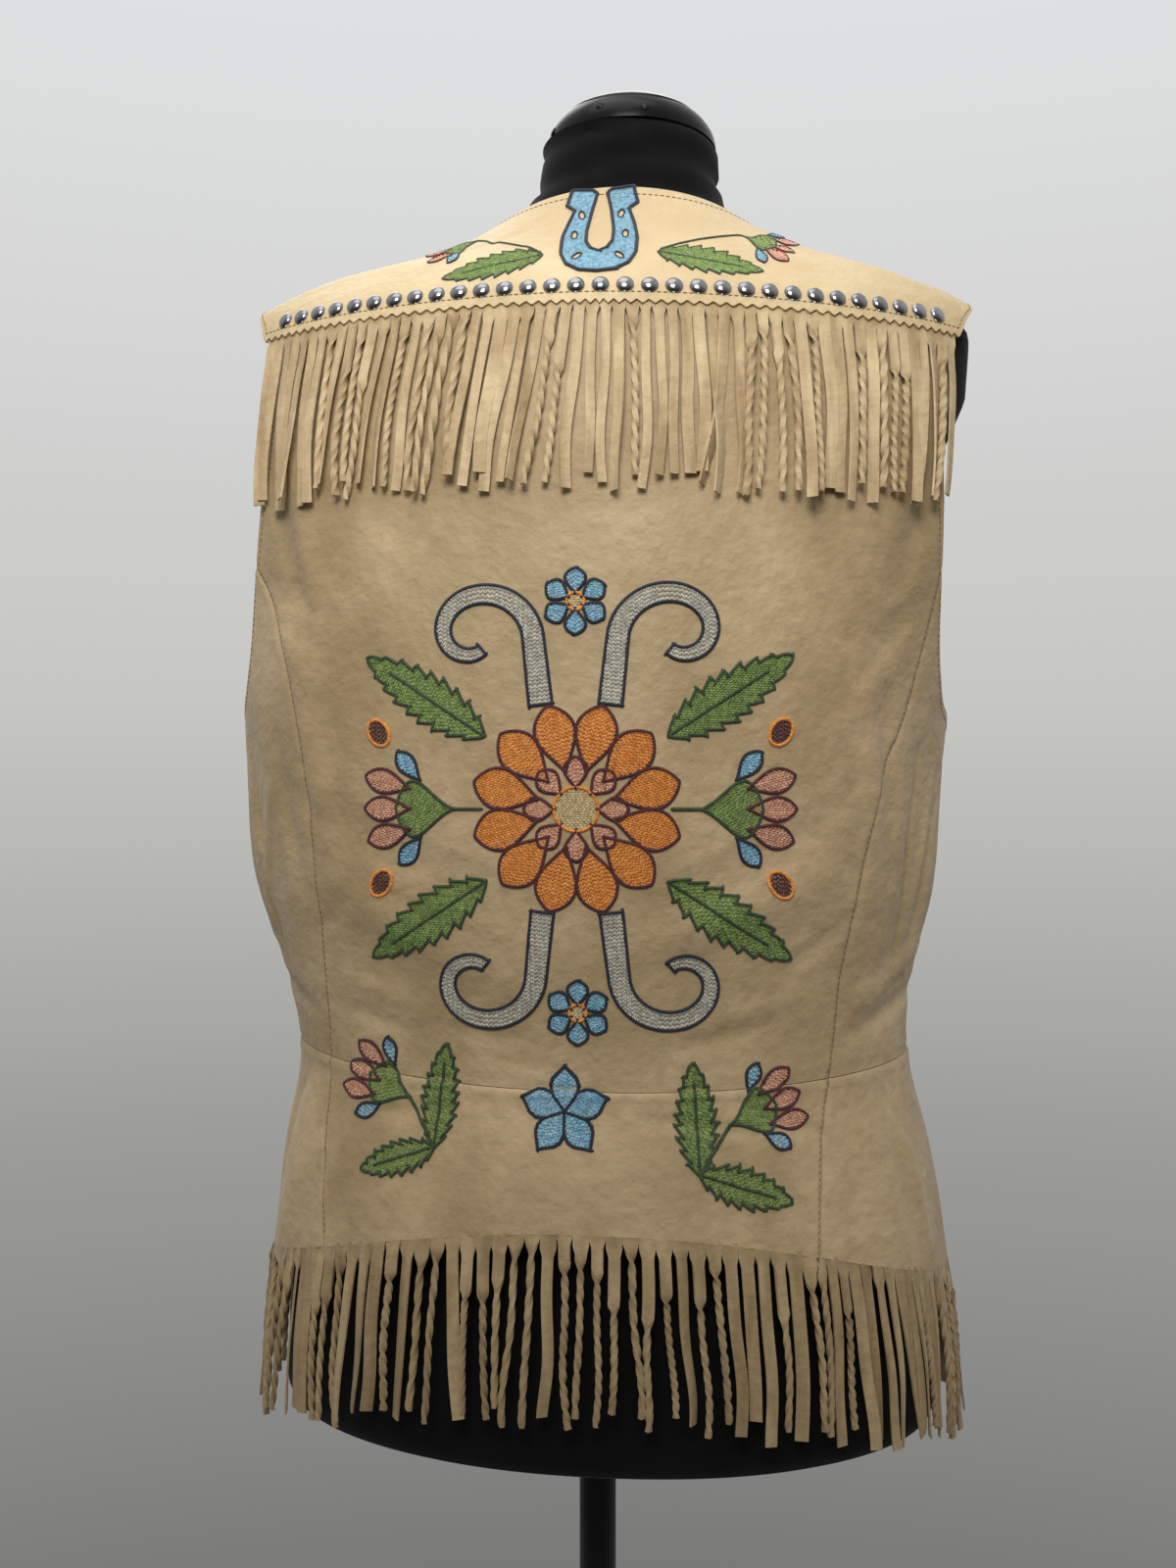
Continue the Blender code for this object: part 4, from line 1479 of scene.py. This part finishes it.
def fringes(body: LeatherBody) -> list[Piece]:
    """The yoke's fringe and the hem's, a strip for each panel.

    Args:
        body: The surface that they hang on.

    Returns:
        The six pieces.
    """
    reach = float(armhole_at(1, np.array(YOKE_EDGE))) - 1.0
    top = YOKE_EDGE + 0.005
    made = [
        Fringe(
            "fringe_yoke",
            "yoke_fringe",
            body,
            FRINGE_LEATHER,
            angles=spaced(body, 1.2 - reach, reach - 1.2, YOKE_EDGE, 60),
            top=lambda angle: np.full_like(angle, top),
            band=0.0042,
            lift=0.0018,
            length=0.1020,
            pitch=0.0074,
            seed=31,
        ).build()
    ]
    low = np.array(0.634)
    right, left = (float(princess_at(side, low)) for side in (Side.RIGHT, Side.LEFT))
    front = float(front_edge_at(low))
    stretches = (
        ("back", right, left, 32),
        ("side_left", left, 90.0, 15),
        ("side_right", -90.0, right, 22),
        ("front_left", 90.0, front, 34),
        ("front_right", -front, -90.0, 34),
    )
    for number, (word, start, end, count) in enumerate(stretches):
        margin = (end - start) / count / 2
        height = float(hem_at(np.array((start + end) / 2)))
        angles = spaced(body, start + margin, end - margin, height, count)
        places = body.point(angles, np.full_like(angles, height))
        pitch = float(np.linalg.norm(np.diff(places, axis=0), axis=1).mean())
        made.append(
            Fringe(
                f"fringe_hem_{word}",
                f"hem_fringe_{word}",
                body,
                HEM_LEATHER,
                angles=angles,
                top=lambda angle: hem_at(angle) + 0.0012,
                band=0.0022,
                lift=-0.0008,
                length=0.0915,
                pitch=pitch * 1.01,
                seed=70 + number,
            ).build()
        )
    return made


def blade(
    base: Sequence[float], tip: Sequence[float], width: float, full: float = 0.45, teeth: int = 0
) -> Outline:
    """A pointed leaf or petal.

    Args:
        base: Sideways place and height of its base, in mm.
        tip: Sideways place and height of its tip, in mm.
        width: Greatest width in mm.
        full: Share of the length where it is widest.
        teeth: Number of teeth along each edge.

    Returns:
        The closed outline.
    """
    t = np.linspace(0, 1, 80)
    half = width / 2 * np.sin(np.pi * t ** (math.log(0.5) / math.log(full))) ** 0.75
    if teeth:
        half = half * (0.70 + 0.34 * ((t * teeth) % 1)) + 0.3
    base, tip = np.array(base, float), np.array(tip, float)
    along = tip - base
    across = np.array([-along[1], along[0]]) / np.linalg.norm(along)
    one = base + along * t[:, None] + across * half[:, None]
    other = base + along * t[:, None] - across * half[:, None]
    return np.concatenate([one, other[::-1][1:]])


def oval(centre: Sequence[float], wide: float, high: float, turn: float = 0.0) -> Outline:
    """An oval of a width and height in mm, turned by an angle in degrees.

    Args:
        centre: Its middle.
        wide: Width.
        high: Height.
        turn: Angle that it is turned by.

    Returns:
        The closed outline.
    """
    t = np.linspace(0, 2 * np.pi, 33)[:-1]
    x, z = wide / 2 * np.cos(t), high / 2 * np.sin(t)
    c, s = math.cos(math.radians(turn)), math.sin(math.radians(turn))
    return np.stack([centre[0] + x * c - z * s, centre[1] + x * s + z * c], 1)


def band(line: Outline, start: float, end: float) -> Outline:
    """A strip along a line, from one width to another in mm.

    Args:
        line: Points of the line.
        start: First width.
        end: Last width.

    Returns:
        The closed outline.
    """
    along = unit(np.gradient(line, axis=0))
    across = np.stack([-along[:, 1], along[:, 0]], 1)
    half = np.linspace(start, end, len(line))[:, None] / 2
    return np.concatenate([line + across * half, (line - across * half)[::-1]])


def towards(centre: Sequence[float], distance: float, degrees: float) -> tuple[float, float]:
    """A place at a distance from a centre; 0 degrees points to the wearer's left and 90 up."""
    turn = math.radians(degrees)
    return centre[0] + distance * math.cos(turn), centre[1] + distance * math.sin(turn)


@dataclass
class Embroidery:
    """Chain-stitched motifs on the yoke or the back, gathered by thread.

    Args:
        body: The surface that they lie on.
        surface: Gives places from angles and heights.
        row_mm: Distance between rows of stitches.
        step_mm: Distance between stitches in a row.
        word: Word for the pieces' names.
        bold: Size of the stitches of lines and edges beside those of fills.
    """

    body: LeatherBody
    surface: Surface
    row_mm: float
    step_mm: float
    word: str
    bold: float = 1.7
    stitches: dict[Thread, list[Array]] = field(default_factory=dict)

    def add(self, thread: Thread, stitches: Array) -> None:
        """Keeps stitches given as sideways place, height, direction and size."""
        if len(stitches):
            self.stitches.setdefault(thread, []).append(stitches)

    def fill(self, thread: Thread, outlines: Sequence[Outline], grain: float) -> None:
        """Fills outlines with rows of stitches along a direction in degrees.

        Args:
            thread: The thread.
            outlines: Closed outlines; one inside another is a hole.
            grain: Direction of the rows.
        """
        c, s = math.cos(math.radians(grain)), math.sin(math.radians(grain))
        turned = [np.stack([o[:, 0] * c + o[:, 1] * s, -o[:, 0] * s + o[:, 1] * c], 1) for o in outlines]
        low, high = min(o[:, 1].min() for o in turned), max(o[:, 1].max() for o in turned)
        rows = np.arange(low + self.row_mm * 0.5, high, self.row_mm)
        found = []
        for number, row in enumerate(rows):
            crossings = []
            for outline in turned:
                after = np.roll(outline, -1, axis=0)
                cut = (outline[:, 1] > row) != (after[:, 1] > row)
                a, b = outline[cut], after[cut]
                share = (row - a[:, 1]) / (b[:, 1] - a[:, 1])
                crossings.extend((a[:, 0] + share * (b[:, 0] - a[:, 0])).tolist())
            crossings.sort()
            for start, end in zip(crossings[::2], crossings[1::2]):
                count = max(int((end - start) / self.step_mm), 1)
                x = start + (np.arange(count) + 0.5) * (end - start) / count
                tilt = math.radians(24 if number % 2 else -24)
                way = np.full(count, math.radians(grain) + tilt)
                found.append(np.stack([x * c - row * s, x * s + row * c, way, np.ones(count)], 1))
        if found:
            self.add(thread, np.concatenate(found))

    def line(self, thread: Thread, points: Outline, closed: bool = False, size: float | None = None) -> None:
        """A row of stitches along a line or round an outline, of the usual bold size or another.

        Args:
            thread: The thread.
            points: Points of the line.
            closed: Whether the line ends where it starts.
            size: Size of the stitches.
        """
        if closed:
            points = np.concatenate([points, points[:1]])
        index = walk(points, self.step_mm * 0.8)
        x, z = pick(points[:, 0], index), pick(points[:, 1], index)
        low = np.clip(index.astype(int), 0, len(points) - 2)
        way = points[low + 1] - points[low]
        turn, sizes = np.arctan2(way[:, 1], way[:, 0]), np.full(len(x), size or self.bold)
        self.add(thread, np.stack([x, z, turn, sizes], 1))

    def shape(self, outline: Outline, fill: Thread, edge: Thread, grain: float) -> None:
        """A filled outline with an edge."""
        self.fill(fill, [outline], grain)
        self.line(edge, outline, closed=True)

    def leaf(self, base: Sequence[float], tip: Sequence[float], width: float, teeth: int = 8) -> None:
        """A toothed leaf with a darker vein and edge.

        Args:
            base: Where it starts, in mm.
            tip: Where it ends, in mm.
            width: Greatest width in mm.
            teeth: Number of teeth along each edge.
        """
        grain = math.degrees(math.atan2(tip[1] - base[1], tip[0] - base[0]))
        self.shape(blade(base, tip, width, 0.45, teeth), Thread.GREEN, Thread.DARK_GREEN, grain + 35)
        end = np.array(base) + (np.array(tip) - np.array(base)) * 0.8
        self.line(Thread.DARK_GREEN, np.linspace(base, end, 12))

    def petal(
        self, base: Sequence[float], tip: Sequence[float], width: float, fill: Thread, edge: Thread
    ) -> None:
        """A petal with rows along its length."""
        grain = math.degrees(math.atan2(tip[1] - base[1], tip[0] - base[0]))
        self.shape(blade(base, tip, width, 0.62), fill, edge, grain)

    def flower(self, base: Sequence[float], degrees: float, size: float) -> None:
        """A half-open flower: a green cup, three salmon petals and two blue drops.

        Args:
            base: Where its stem ends.
            degrees: Where it points.
            size: Length of the cup and the petals, in mm.
        """

        def at(forward: float, aside: float) -> tuple[float, float]:
            """A place by shares of the size."""
            return towards(towards(base, size * forward, degrees), size * aside, degrees + 90)

        for aside in (-0.19, 0.0, 0.19):
            start = at(0.44, aside)
            tip = towards(start, size * 0.46, degrees + aside * 80)
            self.petal(start, tip, size * 0.22, Thread.SALMON, Thread.BURGUNDY)
        for sign in (-1, 1):
            start = at(0.34, sign * 0.27)
            tip = towards(start, size * 0.34, degrees + sign * 50)
            self.petal(start, tip, size * 0.17, Thread.SKY, Thread.NAVY)
        cup = blade(base, at(0.58, 0.0), size * 0.52, 0.70)
        self.shape(cup, Thread.GREEN, Thread.DARK_GREEN, degrees + 25)

    def build(self) -> list[Piece]:
        """Builds one piece for each thread.

        Returns:
            The pieces.
        """
        made = []
        for thread, parts in self.stitches.items():
            x, z, way, size = np.concatenate(parts).T
            angle, height = self.body.angle_of(x, z)
            ahead_angle, ahead_height = self.body.angle_of(x + 0.5 * np.cos(way), z + 0.5 * np.sin(way))
            frames = Frames.on(self.surface, angle, height, ahead_angle - angle, ahead_height - height)
            link = stitch_template(self.step_mm * 1.4 * MM, self.row_mm * 1.1 * MM, 0.0008, sides=5)
            mesh = frames.stamp(link, size)
            made.append(show(f"embroidery_{self.word}_{thread.name.lower()}", mesh, thread.finish))
        return made


def horseshoe(work: Embroidery, centre: float) -> None:
    """An open-topped horseshoe with three nail holes a side.

    Args:
        work: The embroidery to add to.
        centre: Sideways place of its middle, in mm.
    """
    inner = ((3, 1243), (5.5, 1230), (7.5, 1214), (7.3, 1204), (4.5, 1198), (0, 1195.5))
    outer = (
        (0, 1177.5),
        (9.5, 1179),
        (16.5, 1185),
        (20.3, 1195),
        (20.6, 1207),
        (18.6, 1219),
        (15.2, 1231),
        (20, 1236),
        (17.5, 1247),
        (5, 1245),
    )
    half = np.array(outer[::-1], float)
    inside = np.array(inner, float)
    outside = np.concatenate([half, half[::-1][1:] * (-1, 1)])
    ring = np.concatenate([outside, inside * (-1, 1), inside[::-1][1:]])
    ring[:, 0] += centre
    holes = []
    for across, height, turn in ((11, 1227, -12), (14, 1210, 0), (11.5, 1192, 40)):
        for sign in (-1, 1):
            holes.append(oval((centre + sign * across, height), 3.4, 6.4, sign * turn))
    spots, corners = np.linspace(0, len(ring), 160), np.arange(len(ring) + 1)
    dense = np.stack([np.interp(spots, corners, np.append(c, c[0])) for c in ring.T], 1)
    work.fill(Thread.SKY, [dense, *holes], 90)
    work.line(Thread.NAVY, dense, closed=True, size=2.3)
    for hole in holes:
        work.line(Thread.NAVY, hole, closed=True)


def yoke_motifs(body: LeatherBody) -> list[Piece]:
    """The horseshoe and a flower spray on each shoulder.

    Args:
        body: The surface that they lie on.

    Returns:
        The pieces.
    """
    work = Embroidery(body, body.yoke, 1.0, 1.7, "yoke", 1.35)
    horseshoe(work, -6.5)
    sprays = (
        ((24, 1195), (77, 1181), ((25, 1197), (36, 1204), (46, 1209), (56, 1214), (65, 1219)), -20),
        ((-39, 1195), (-94, 1182), ((-40, 1197), (-50, 1202), (-60, 1206), (-72, 1210), (-85, 1214)), 202),
    )
    for base, tip, stem, way in sprays:
        work.leaf(base, tip, 21, 8)
        work.line(Thread.DARK_GREEN, np.array(stem, float))
        work.flower(stem[-1], way, 34)
    return work.build()


def back_motifs(body: LeatherBody) -> list[Piece]:
    """The star, the two low sprays and a large rosette with scrolls and leaves.

    Args:
        body: The surface that they lie on.

    Returns:
        The pieces.
    """
    work = Embroidery(body, body.leather, 1.25, 2.0, "back")
    five_petal_star(work, (10, 737))
    low_sprays = (
        (1, (81, 716), (74, 770), 19, (122, 700), 16, (95, 740)),
        (-1, (-61, 706), (-57, 762), 21, (-109, 690), 19, (-77, 730)),
    )
    for sign, root, up_tip, up_width, out_tip, out_width, cup in low_sprays:
        work.leaf(root, up_tip, up_width, 9)
        work.leaf(root, out_tip, out_width, 8)
        work.line(Thread.DARK_GREEN, np.linspace(root, cup, 12))
        work.flower(cup, 90 - sign * 68, 44)
    rosette(work, (3, 896))
    return work.build()


def five_petal_star(work: Embroidery, centre: tuple[float, float]) -> None:
    """A star of five pointed petals, parted by lines from its centre.

    Args:
        work: The embroidery to add to.
        centre: Its middle, in mm.
    """
    aside = np.array((-36, -33, -28, -20, -12, -6, 0, 6, 12, 20, 28, 33, 36), float)
    reach = np.array((11.0, 13.2, 15.8, 18.2, 19.8, 21.3, 23.6, 21.3, 19.8, 18.2, 15.8, 13.2, 11.0))
    rim = []
    for number in range(5):
        way = 90 + 72 * number
        petal = np.array([towards(centre, r, way + a) for a, r in zip(aside, reach)])
        work.fill(Thread.SKY, [np.concatenate([petal, [centre]])], way)
        work.line(Thread.NAVY, np.linspace(centre, petal[0], 8))
        rim.append(petal[:-1])
    work.line(Thread.NAVY, np.concatenate(rim), closed=True)


def rosette(work: Embroidery, centre: tuple[float, float]) -> None:
    """A round flower among leaves, scrolls and buds.

    Args:
        work: The embroidery to add to.
        centre: Its middle, in mm.
    """
    x, z = centre
    for up in (-1, 1):
        for across in (-1, 1):
            turn = np.linspace(0, 1.62 * np.pi, 60)
            radius = np.linspace(30, 9, 60)
            start = np.array([x + across * 52, z + up * 90])
            spin = np.stack([-across * np.cos(turn) * radius, up * np.sin(turn) * radius * 0.9], 1)
            neck = np.linspace((x + across * 18, z + up * 54), start + spin[0], 14)[:-1]
            curve = np.concatenate([neck, start + spin])
            work.shape(band(curve, 12, 6), Thread.GREY, Thread.NAVY, 90)
            work.leaf((x + across * 48, z + up * 38), (x + across * 112, z + up * 80), 25, 9)
            berry = oval((x + across * 106, z + up * 40), 11, 15, up * across * -35)
            work.shape(berry, Thread.BURGUNDY, Thread.ORANGE, 90)
    for across in (-1, 1):
        stem = np.linspace((x + across * 50, z), (x + across * 66, z), 6)
        work.line(Thread.DARK_GREEN, stem)
        work.flower((x + across * 64, z), 0 if across > 0 else 180, 56)
    for up in (-1, 1):
        middle = (x, z + up * 107)
        for number in range(6):
            way = 90 + 60 * number
            work.petal(towards(middle, 4, way), towards(middle, 17, way), 10.5, Thread.SKY, Thread.NAVY)
        work.shape(oval(middle, 9, 9), Thread.CREAM, Thread.ORANGE, 0)
    for number in range(12):
        way = 15 + 30 * number
        work.petal(towards(centre, 20, way), towards(centre, 55, way), 21, Thread.ORANGE, Thread.BURGUNDY)
    for number in range(8):
        way = 45 * number
        work.petal(towards(centre, 11, way), towards(centre, 27, way), 12, Thread.SALMON, Thread.BURGUNDY)
    work.shape(oval(centre, 23, 23), Thread.CREAM, Thread.ORANGE, 0)


@dataclass
class DomeStuds:
    """The row of polished domes above the yoke's edge.

    Args:
        body: The surface that they stand on.
    """

    body: LeatherBody
    count: int = 31
    pitch: float = 0.0127
    radius: float = 0.00475
    height: float = 0.0026
    row: float = 0.0085

    def build(self) -> Piece:
        """Builds the row as one piece.

        Returns:
            The piece.
        """
        bm = bmesh.new()
        bmesh.ops.create_uvsphere(bm, u_segments=24, v_segments=16, radius=self.radius)
        everything = bm.verts[:] + bm.edges[:] + bm.faces[:]
        bmesh.ops.bisect_plane(bm, geom=everything, plane_co=(0, 0, 0), plane_no=(0, 0, -1), clear_outer=True)
        rim = [edge for edge in bm.edges if edge.is_boundary]
        bmesh.ops.contextual_create(bm, geom=rim)
        bmesh.ops.scale(bm, vec=(1, 1, self.height / self.radius), verts=bm.verts)
        level = YOKE_EDGE + self.row
        angles = np.linspace(0, 80, 600)
        places = self.body.point(angles, np.full_like(angles, level))
        run = run_along(places)
        place = (self.count - 1) / 2 - np.arange(self.count)
        angle = np.sign(place) * np.interp(np.abs(place) * self.pitch, run, angles)
        heights = np.full_like(angle, level)
        way, level_way = np.full_like(angle, 0.3), np.zeros_like(angle)
        frames = Frames.on(lambda a, h: self.body.yoke(a, h, 0.0003), angle, heights, way, level_way)
        piece = show("yoke_dome_studs", frames.stamp(as_mesh(bm)), NICKEL)
        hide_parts(*[f"yoke_stud_{number + 1:02d}" for number in range(self.count)])
        return piece


@dataclass
class DressForm:
    """The limbless form: jersey over the torso and neck, and a plastic cap.

    Args:
        body: The leather's surface, which the form lies inside.
    """

    body: LeatherBody
    rim: float = 0.546
    neck_top: float = 1.290
    neck_centre: float = -0.020
    cap_radius: float = 0.0515
    cap_height: float = 0.030
    softness: float = 0.012
    rounding: float = 0.012
    collar: float = 1.250
    collar_roll: float = 0.0012

    def torso(self) -> Piece:
        """The torso with its rolled collar and shoulder ends.

        Returns:
            The piece.
        """

        def surface(u: Array, v: Array) -> Array:
            angle, height = -180 + 360 * u, self.rim + (self.neck_top - self.rim) * v
            above = np.clip(height - self.rim, 0, self.rounding)
            inset = np.sqrt(np.maximum(self.rounding**2 - (self.rounding - above) ** 2, 0))
            rounding = self.rounding - inset
            ease = smooth_curve(EASE, 1, height) * MM
            slant = 1.7 * np.sin(np.radians(angle - 25)) + 0.6 * np.sin(np.radians(3 * angle))
            up = height - self.collar
            roll = np.sin(up * 300 + slant) + 0.5 * np.sin(up * 520 - 1.4 * slant)
            roll = roll * smooth_step(height, 1.246, 1.256) * self.collar_roll
            places = self.body.off(angle, height, roll - ease - rounding)
            across = places[..., 0]
            left, right = (np.interp(height, FORM_REACH[:, 0], FORM_REACH[:, column]) for column in (1, 2))
            start = np.where(across > 0, left, right) * MM - self.softness
            over = np.maximum(np.abs(across) - start, 0)
            reach = np.minimum(np.abs(across), start) + self.softness * np.tanh(over / self.softness)
            places[..., 0] = np.sign(across) * reach
            return places

        bm = bmesh.new()
        grid(bm, 120, 150, surface)
        bmesh.ops.remove_doubles(bm, verts=bm.verts, dist=0.00002)
        bmesh.ops.holes_fill(bm, edges=[edge for edge in bm.edges if edge.is_boundary], sides=0)
        bmesh.ops.recalc_face_normals(bm, faces=bm.faces)
        piece = show("form_jersey", as_mesh(bm), JERSEY)
        piece.data.set_sharp_from_angle(angle=math.radians(45))
        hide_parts("form_torso")
        return piece

    def cap(self) -> list[Piece]:
        """The domed cap with its joint and screws.

        Returns:
            The cap and its screws.
        """
        bm = bmesh.new()
        turns = np.radians(np.linspace(90, 6, 22))
        profile = [(self.cap_radius * math.cos(t), self.cap_height * math.sin(t)) for t in turns]
        groove = 14
        profile[groove] = (profile[groove][0] - 0.0009, profile[groove][1] - 0.0009)
        profile[0] = (0.0, self.cap_height)
        profile += [(self.cap_radius, 0.0), (0.0, 0.0)]
        verts = [bm.verts.new((r, 0, z)) for r, z in profile]
        edges = [bm.edges.new(pair) for pair in zip(verts, verts[1:])]
        bmesh.ops.spin(bm, geom=verts + edges, axis=(0, 0, 1), cent=(0, 0, 0), angle=math.tau, steps=72)
        bmesh.ops.remove_doubles(bm, verts=bm.verts, dist=0.00002)
        bmesh.ops.recalc_face_normals(bm, faces=bm.faces)
        base = Vector((self.neck_centre, 0, self.neck_top + 0.0003))
        place = Matrix.Translation(base) @ Matrix.Rotation(-LEAN, 4, "Y")
        bm.transform(place)
        dome = show("form_cap", as_mesh(bm), CAP_PLASTIC)
        dome.data.set_sharp_from_angle(angle=math.radians(28))
        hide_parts("form_neck_cap")
        bm = bmesh.new()
        for degrees, height in ((12, 0.006), (-19, 0.008), (-62, 0.004)):
            turn = math.radians(90 + degrees)
            reach = self.cap_radius * math.sqrt(1 - (height / self.cap_height) ** 2)
            out = Vector((math.cos(turn), math.sin(turn), 0.35)).normalized()
            spot = Vector((math.cos(turn) * reach, math.sin(turn) * reach, height))
            matrix = place @ Matrix.Translation(spot) @ out.to_track_quat("Z", "Y").to_matrix().to_4x4()
            made = bmesh.ops.create_cone(
                bm, cap_ends=True, segments=20, radius1=0.0026, radius2=0.0022, depth=0.0008, matrix=matrix
            )
            cap_faces = [f for f in bm.faces if len(f.verts) == 20 and made["verts"][0] in f.verts]
            bmesh.ops.inset_region(bm, faces=cap_faces, thickness=0.0006, depth=-0.0003)
        screws = show("form_cap_screws", as_mesh(bm), STAND_PAINT)
        return [dome, screws]


class Studio:
    """Floor, light and camera."""

    camera_place = (-0.0555, 0.8783, 0.909)
    camera_way = (0.0698, -0.9976, 0.0)
    sensor_mm = 36.0
    focal_px = 1480
    picture_px = 1600
    floor_radius = 0.74

    def floor(self) -> None:
        """A round pale floor just wide enough to stand the form on."""
        bm = bmesh.new()
        bmesh.ops.create_circle(bm, cap_ends=True, segments=128, radius=self.floor_radius)
        mesh = as_mesh(bm)
        mesh.materials.append(FLOOR_PAINT.material())
        made = bpy.data.objects.new("floor", mesh)
        made.location.z = -0.0005
        bpy.context.scene.collection.objects.link(made)

    def light(self) -> None:
        """Soft overhead light and a pale surround that darkens downwards."""
        scene = bpy.context.scene
        world = scene.world or bpy.data.worlds.new("surround")
        scene.world = world
        world.use_nodes = True
        tree = world.node_tree
        tree.nodes.clear()
        place = add_node(tree, "ShaderNodeTexCoord").outputs["Generated"]
        up = add_node(tree, "ShaderNodeSeparateXYZ", {"Vector": place}).outputs["Z"]
        low_behind = {0: place, 1: (0.0, 0.9, -0.45)}
        share = add_node(tree, "ShaderNodeVectorMath", low_behind, operation="DOT_PRODUCT").outputs["Value"]
        dimmer = {"Value": share, "From Min": -0.1, "From Max": 0.6, "To Min": 1.0, "To Max": 0.32}
        strength = map_range(tree, dimmer)
        share = map_range(tree, {"Value": up, "From Min": -0.55, "From Max": 0.55})
        ramp = add_node(tree, "ShaderNodeValToRGB", {0: share})
        stops = ((0.0, "#6c6c6a"), (0.30, "#9d9d9b"), (0.55, "#c6c6c3"), (1.0, "#e4e5e7"))
        while len(ramp.color_ramp.elements) < len(stops):
            ramp.color_ramp.elements.new(0.5)
        for element, (spot, code) in zip(ramp.color_ramp.elements, stops):
            element.position = spot
            element.color = srgb(code)
        inputs = {"Color": ramp.outputs[0], "Strength": strength}
        background = add_node(tree, "ShaderNodeBackground", inputs)
        add_node(tree, "ShaderNodeOutputWorld", {"Surface": background.outputs[0]})
        self.area("overhead", (0.04, 1.10, 1.72), (0.0, 0.10, 1.18), 0.55, 2.0, spread=66)
        self.area("ceiling", (0.15, 0.30, 2.30), (0.0, 0.05, 1.20), 0.9, 4.0)
        self.area("overhead_front", (0.3, -1.1, 2.2), (0.0, 0.0, 1.0), 1.2, 8.0)

    def area(
        self,
        name: str,
        place: Sequence[float],
        aim: Sequence[float],
        size: float,
        power: float,
        spread: float = 180,
    ) -> None:
        """Adds a square soft light.

        Args:
            name: Its name.
            place: Where it hangs.
            aim: The point that it faces.
            size: Side of the square in metres.
            power: Power in watts.
            spread: Angle of its beam in degrees.
        """
        data = bpy.data.lights.new(name, "AREA")
        data.size = size
        data.energy = power
        data.spread = math.radians(spread)
        light = bpy.data.objects.new(name, data)
        light.location = place
        light.rotation_mode = "QUATERNION"
        light.rotation_quaternion = (Vector(place) - Vector(aim)).to_track_quat("Z", "Y")
        bpy.context.scene.collection.objects.link(light)

    def camera(self) -> None:
        """The camera at the photograph's place."""
        data = bpy.data.cameras.new("photo camera")
        data.sensor_width = self.sensor_mm
        data.lens = self.focal_px / self.picture_px * self.sensor_mm
        data.clip_start = 0.02
        made = bpy.data.objects.new("photo camera", data)
        made.location = self.camera_place
        made.rotation_mode = "QUATERNION"
        made.rotation_quaternion = (-Vector(self.camera_way)).to_track_quat("Z", "Y")
        bpy.context.scene.collection.objects.link(made)
        bpy.context.scene.camera = made


def stand() -> None:
    """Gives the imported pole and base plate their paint."""
    for name in ("stand_pole", "stand_base"):
        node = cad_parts[name]
        node.data.materials.clear()
        node.data.materials.append(STAND_PAINT.material())


def main() -> None:
    """Builds every piece, the floor, the light and the camera."""
    scene = bpy.context.scene
    scene.view_settings.view_transform = "Standard"
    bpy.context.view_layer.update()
    body = LeatherBody()
    form = DressForm(body)
    form.torso()
    form.cap()
    stand()
    vest = Vest(body)
    vest.back()
    for side in Side:
        vest.side_back(side)
        vest.front(side)
    vest.yoke()
    vest.stitching()
    fringes(body)
    DomeStuds(body).build()
    yoke_motifs(body)
    back_motifs(body)
    studio = Studio()
    studio.floor()
    studio.light()
    studio.camera()


if __name__ == "__main__":
    main()
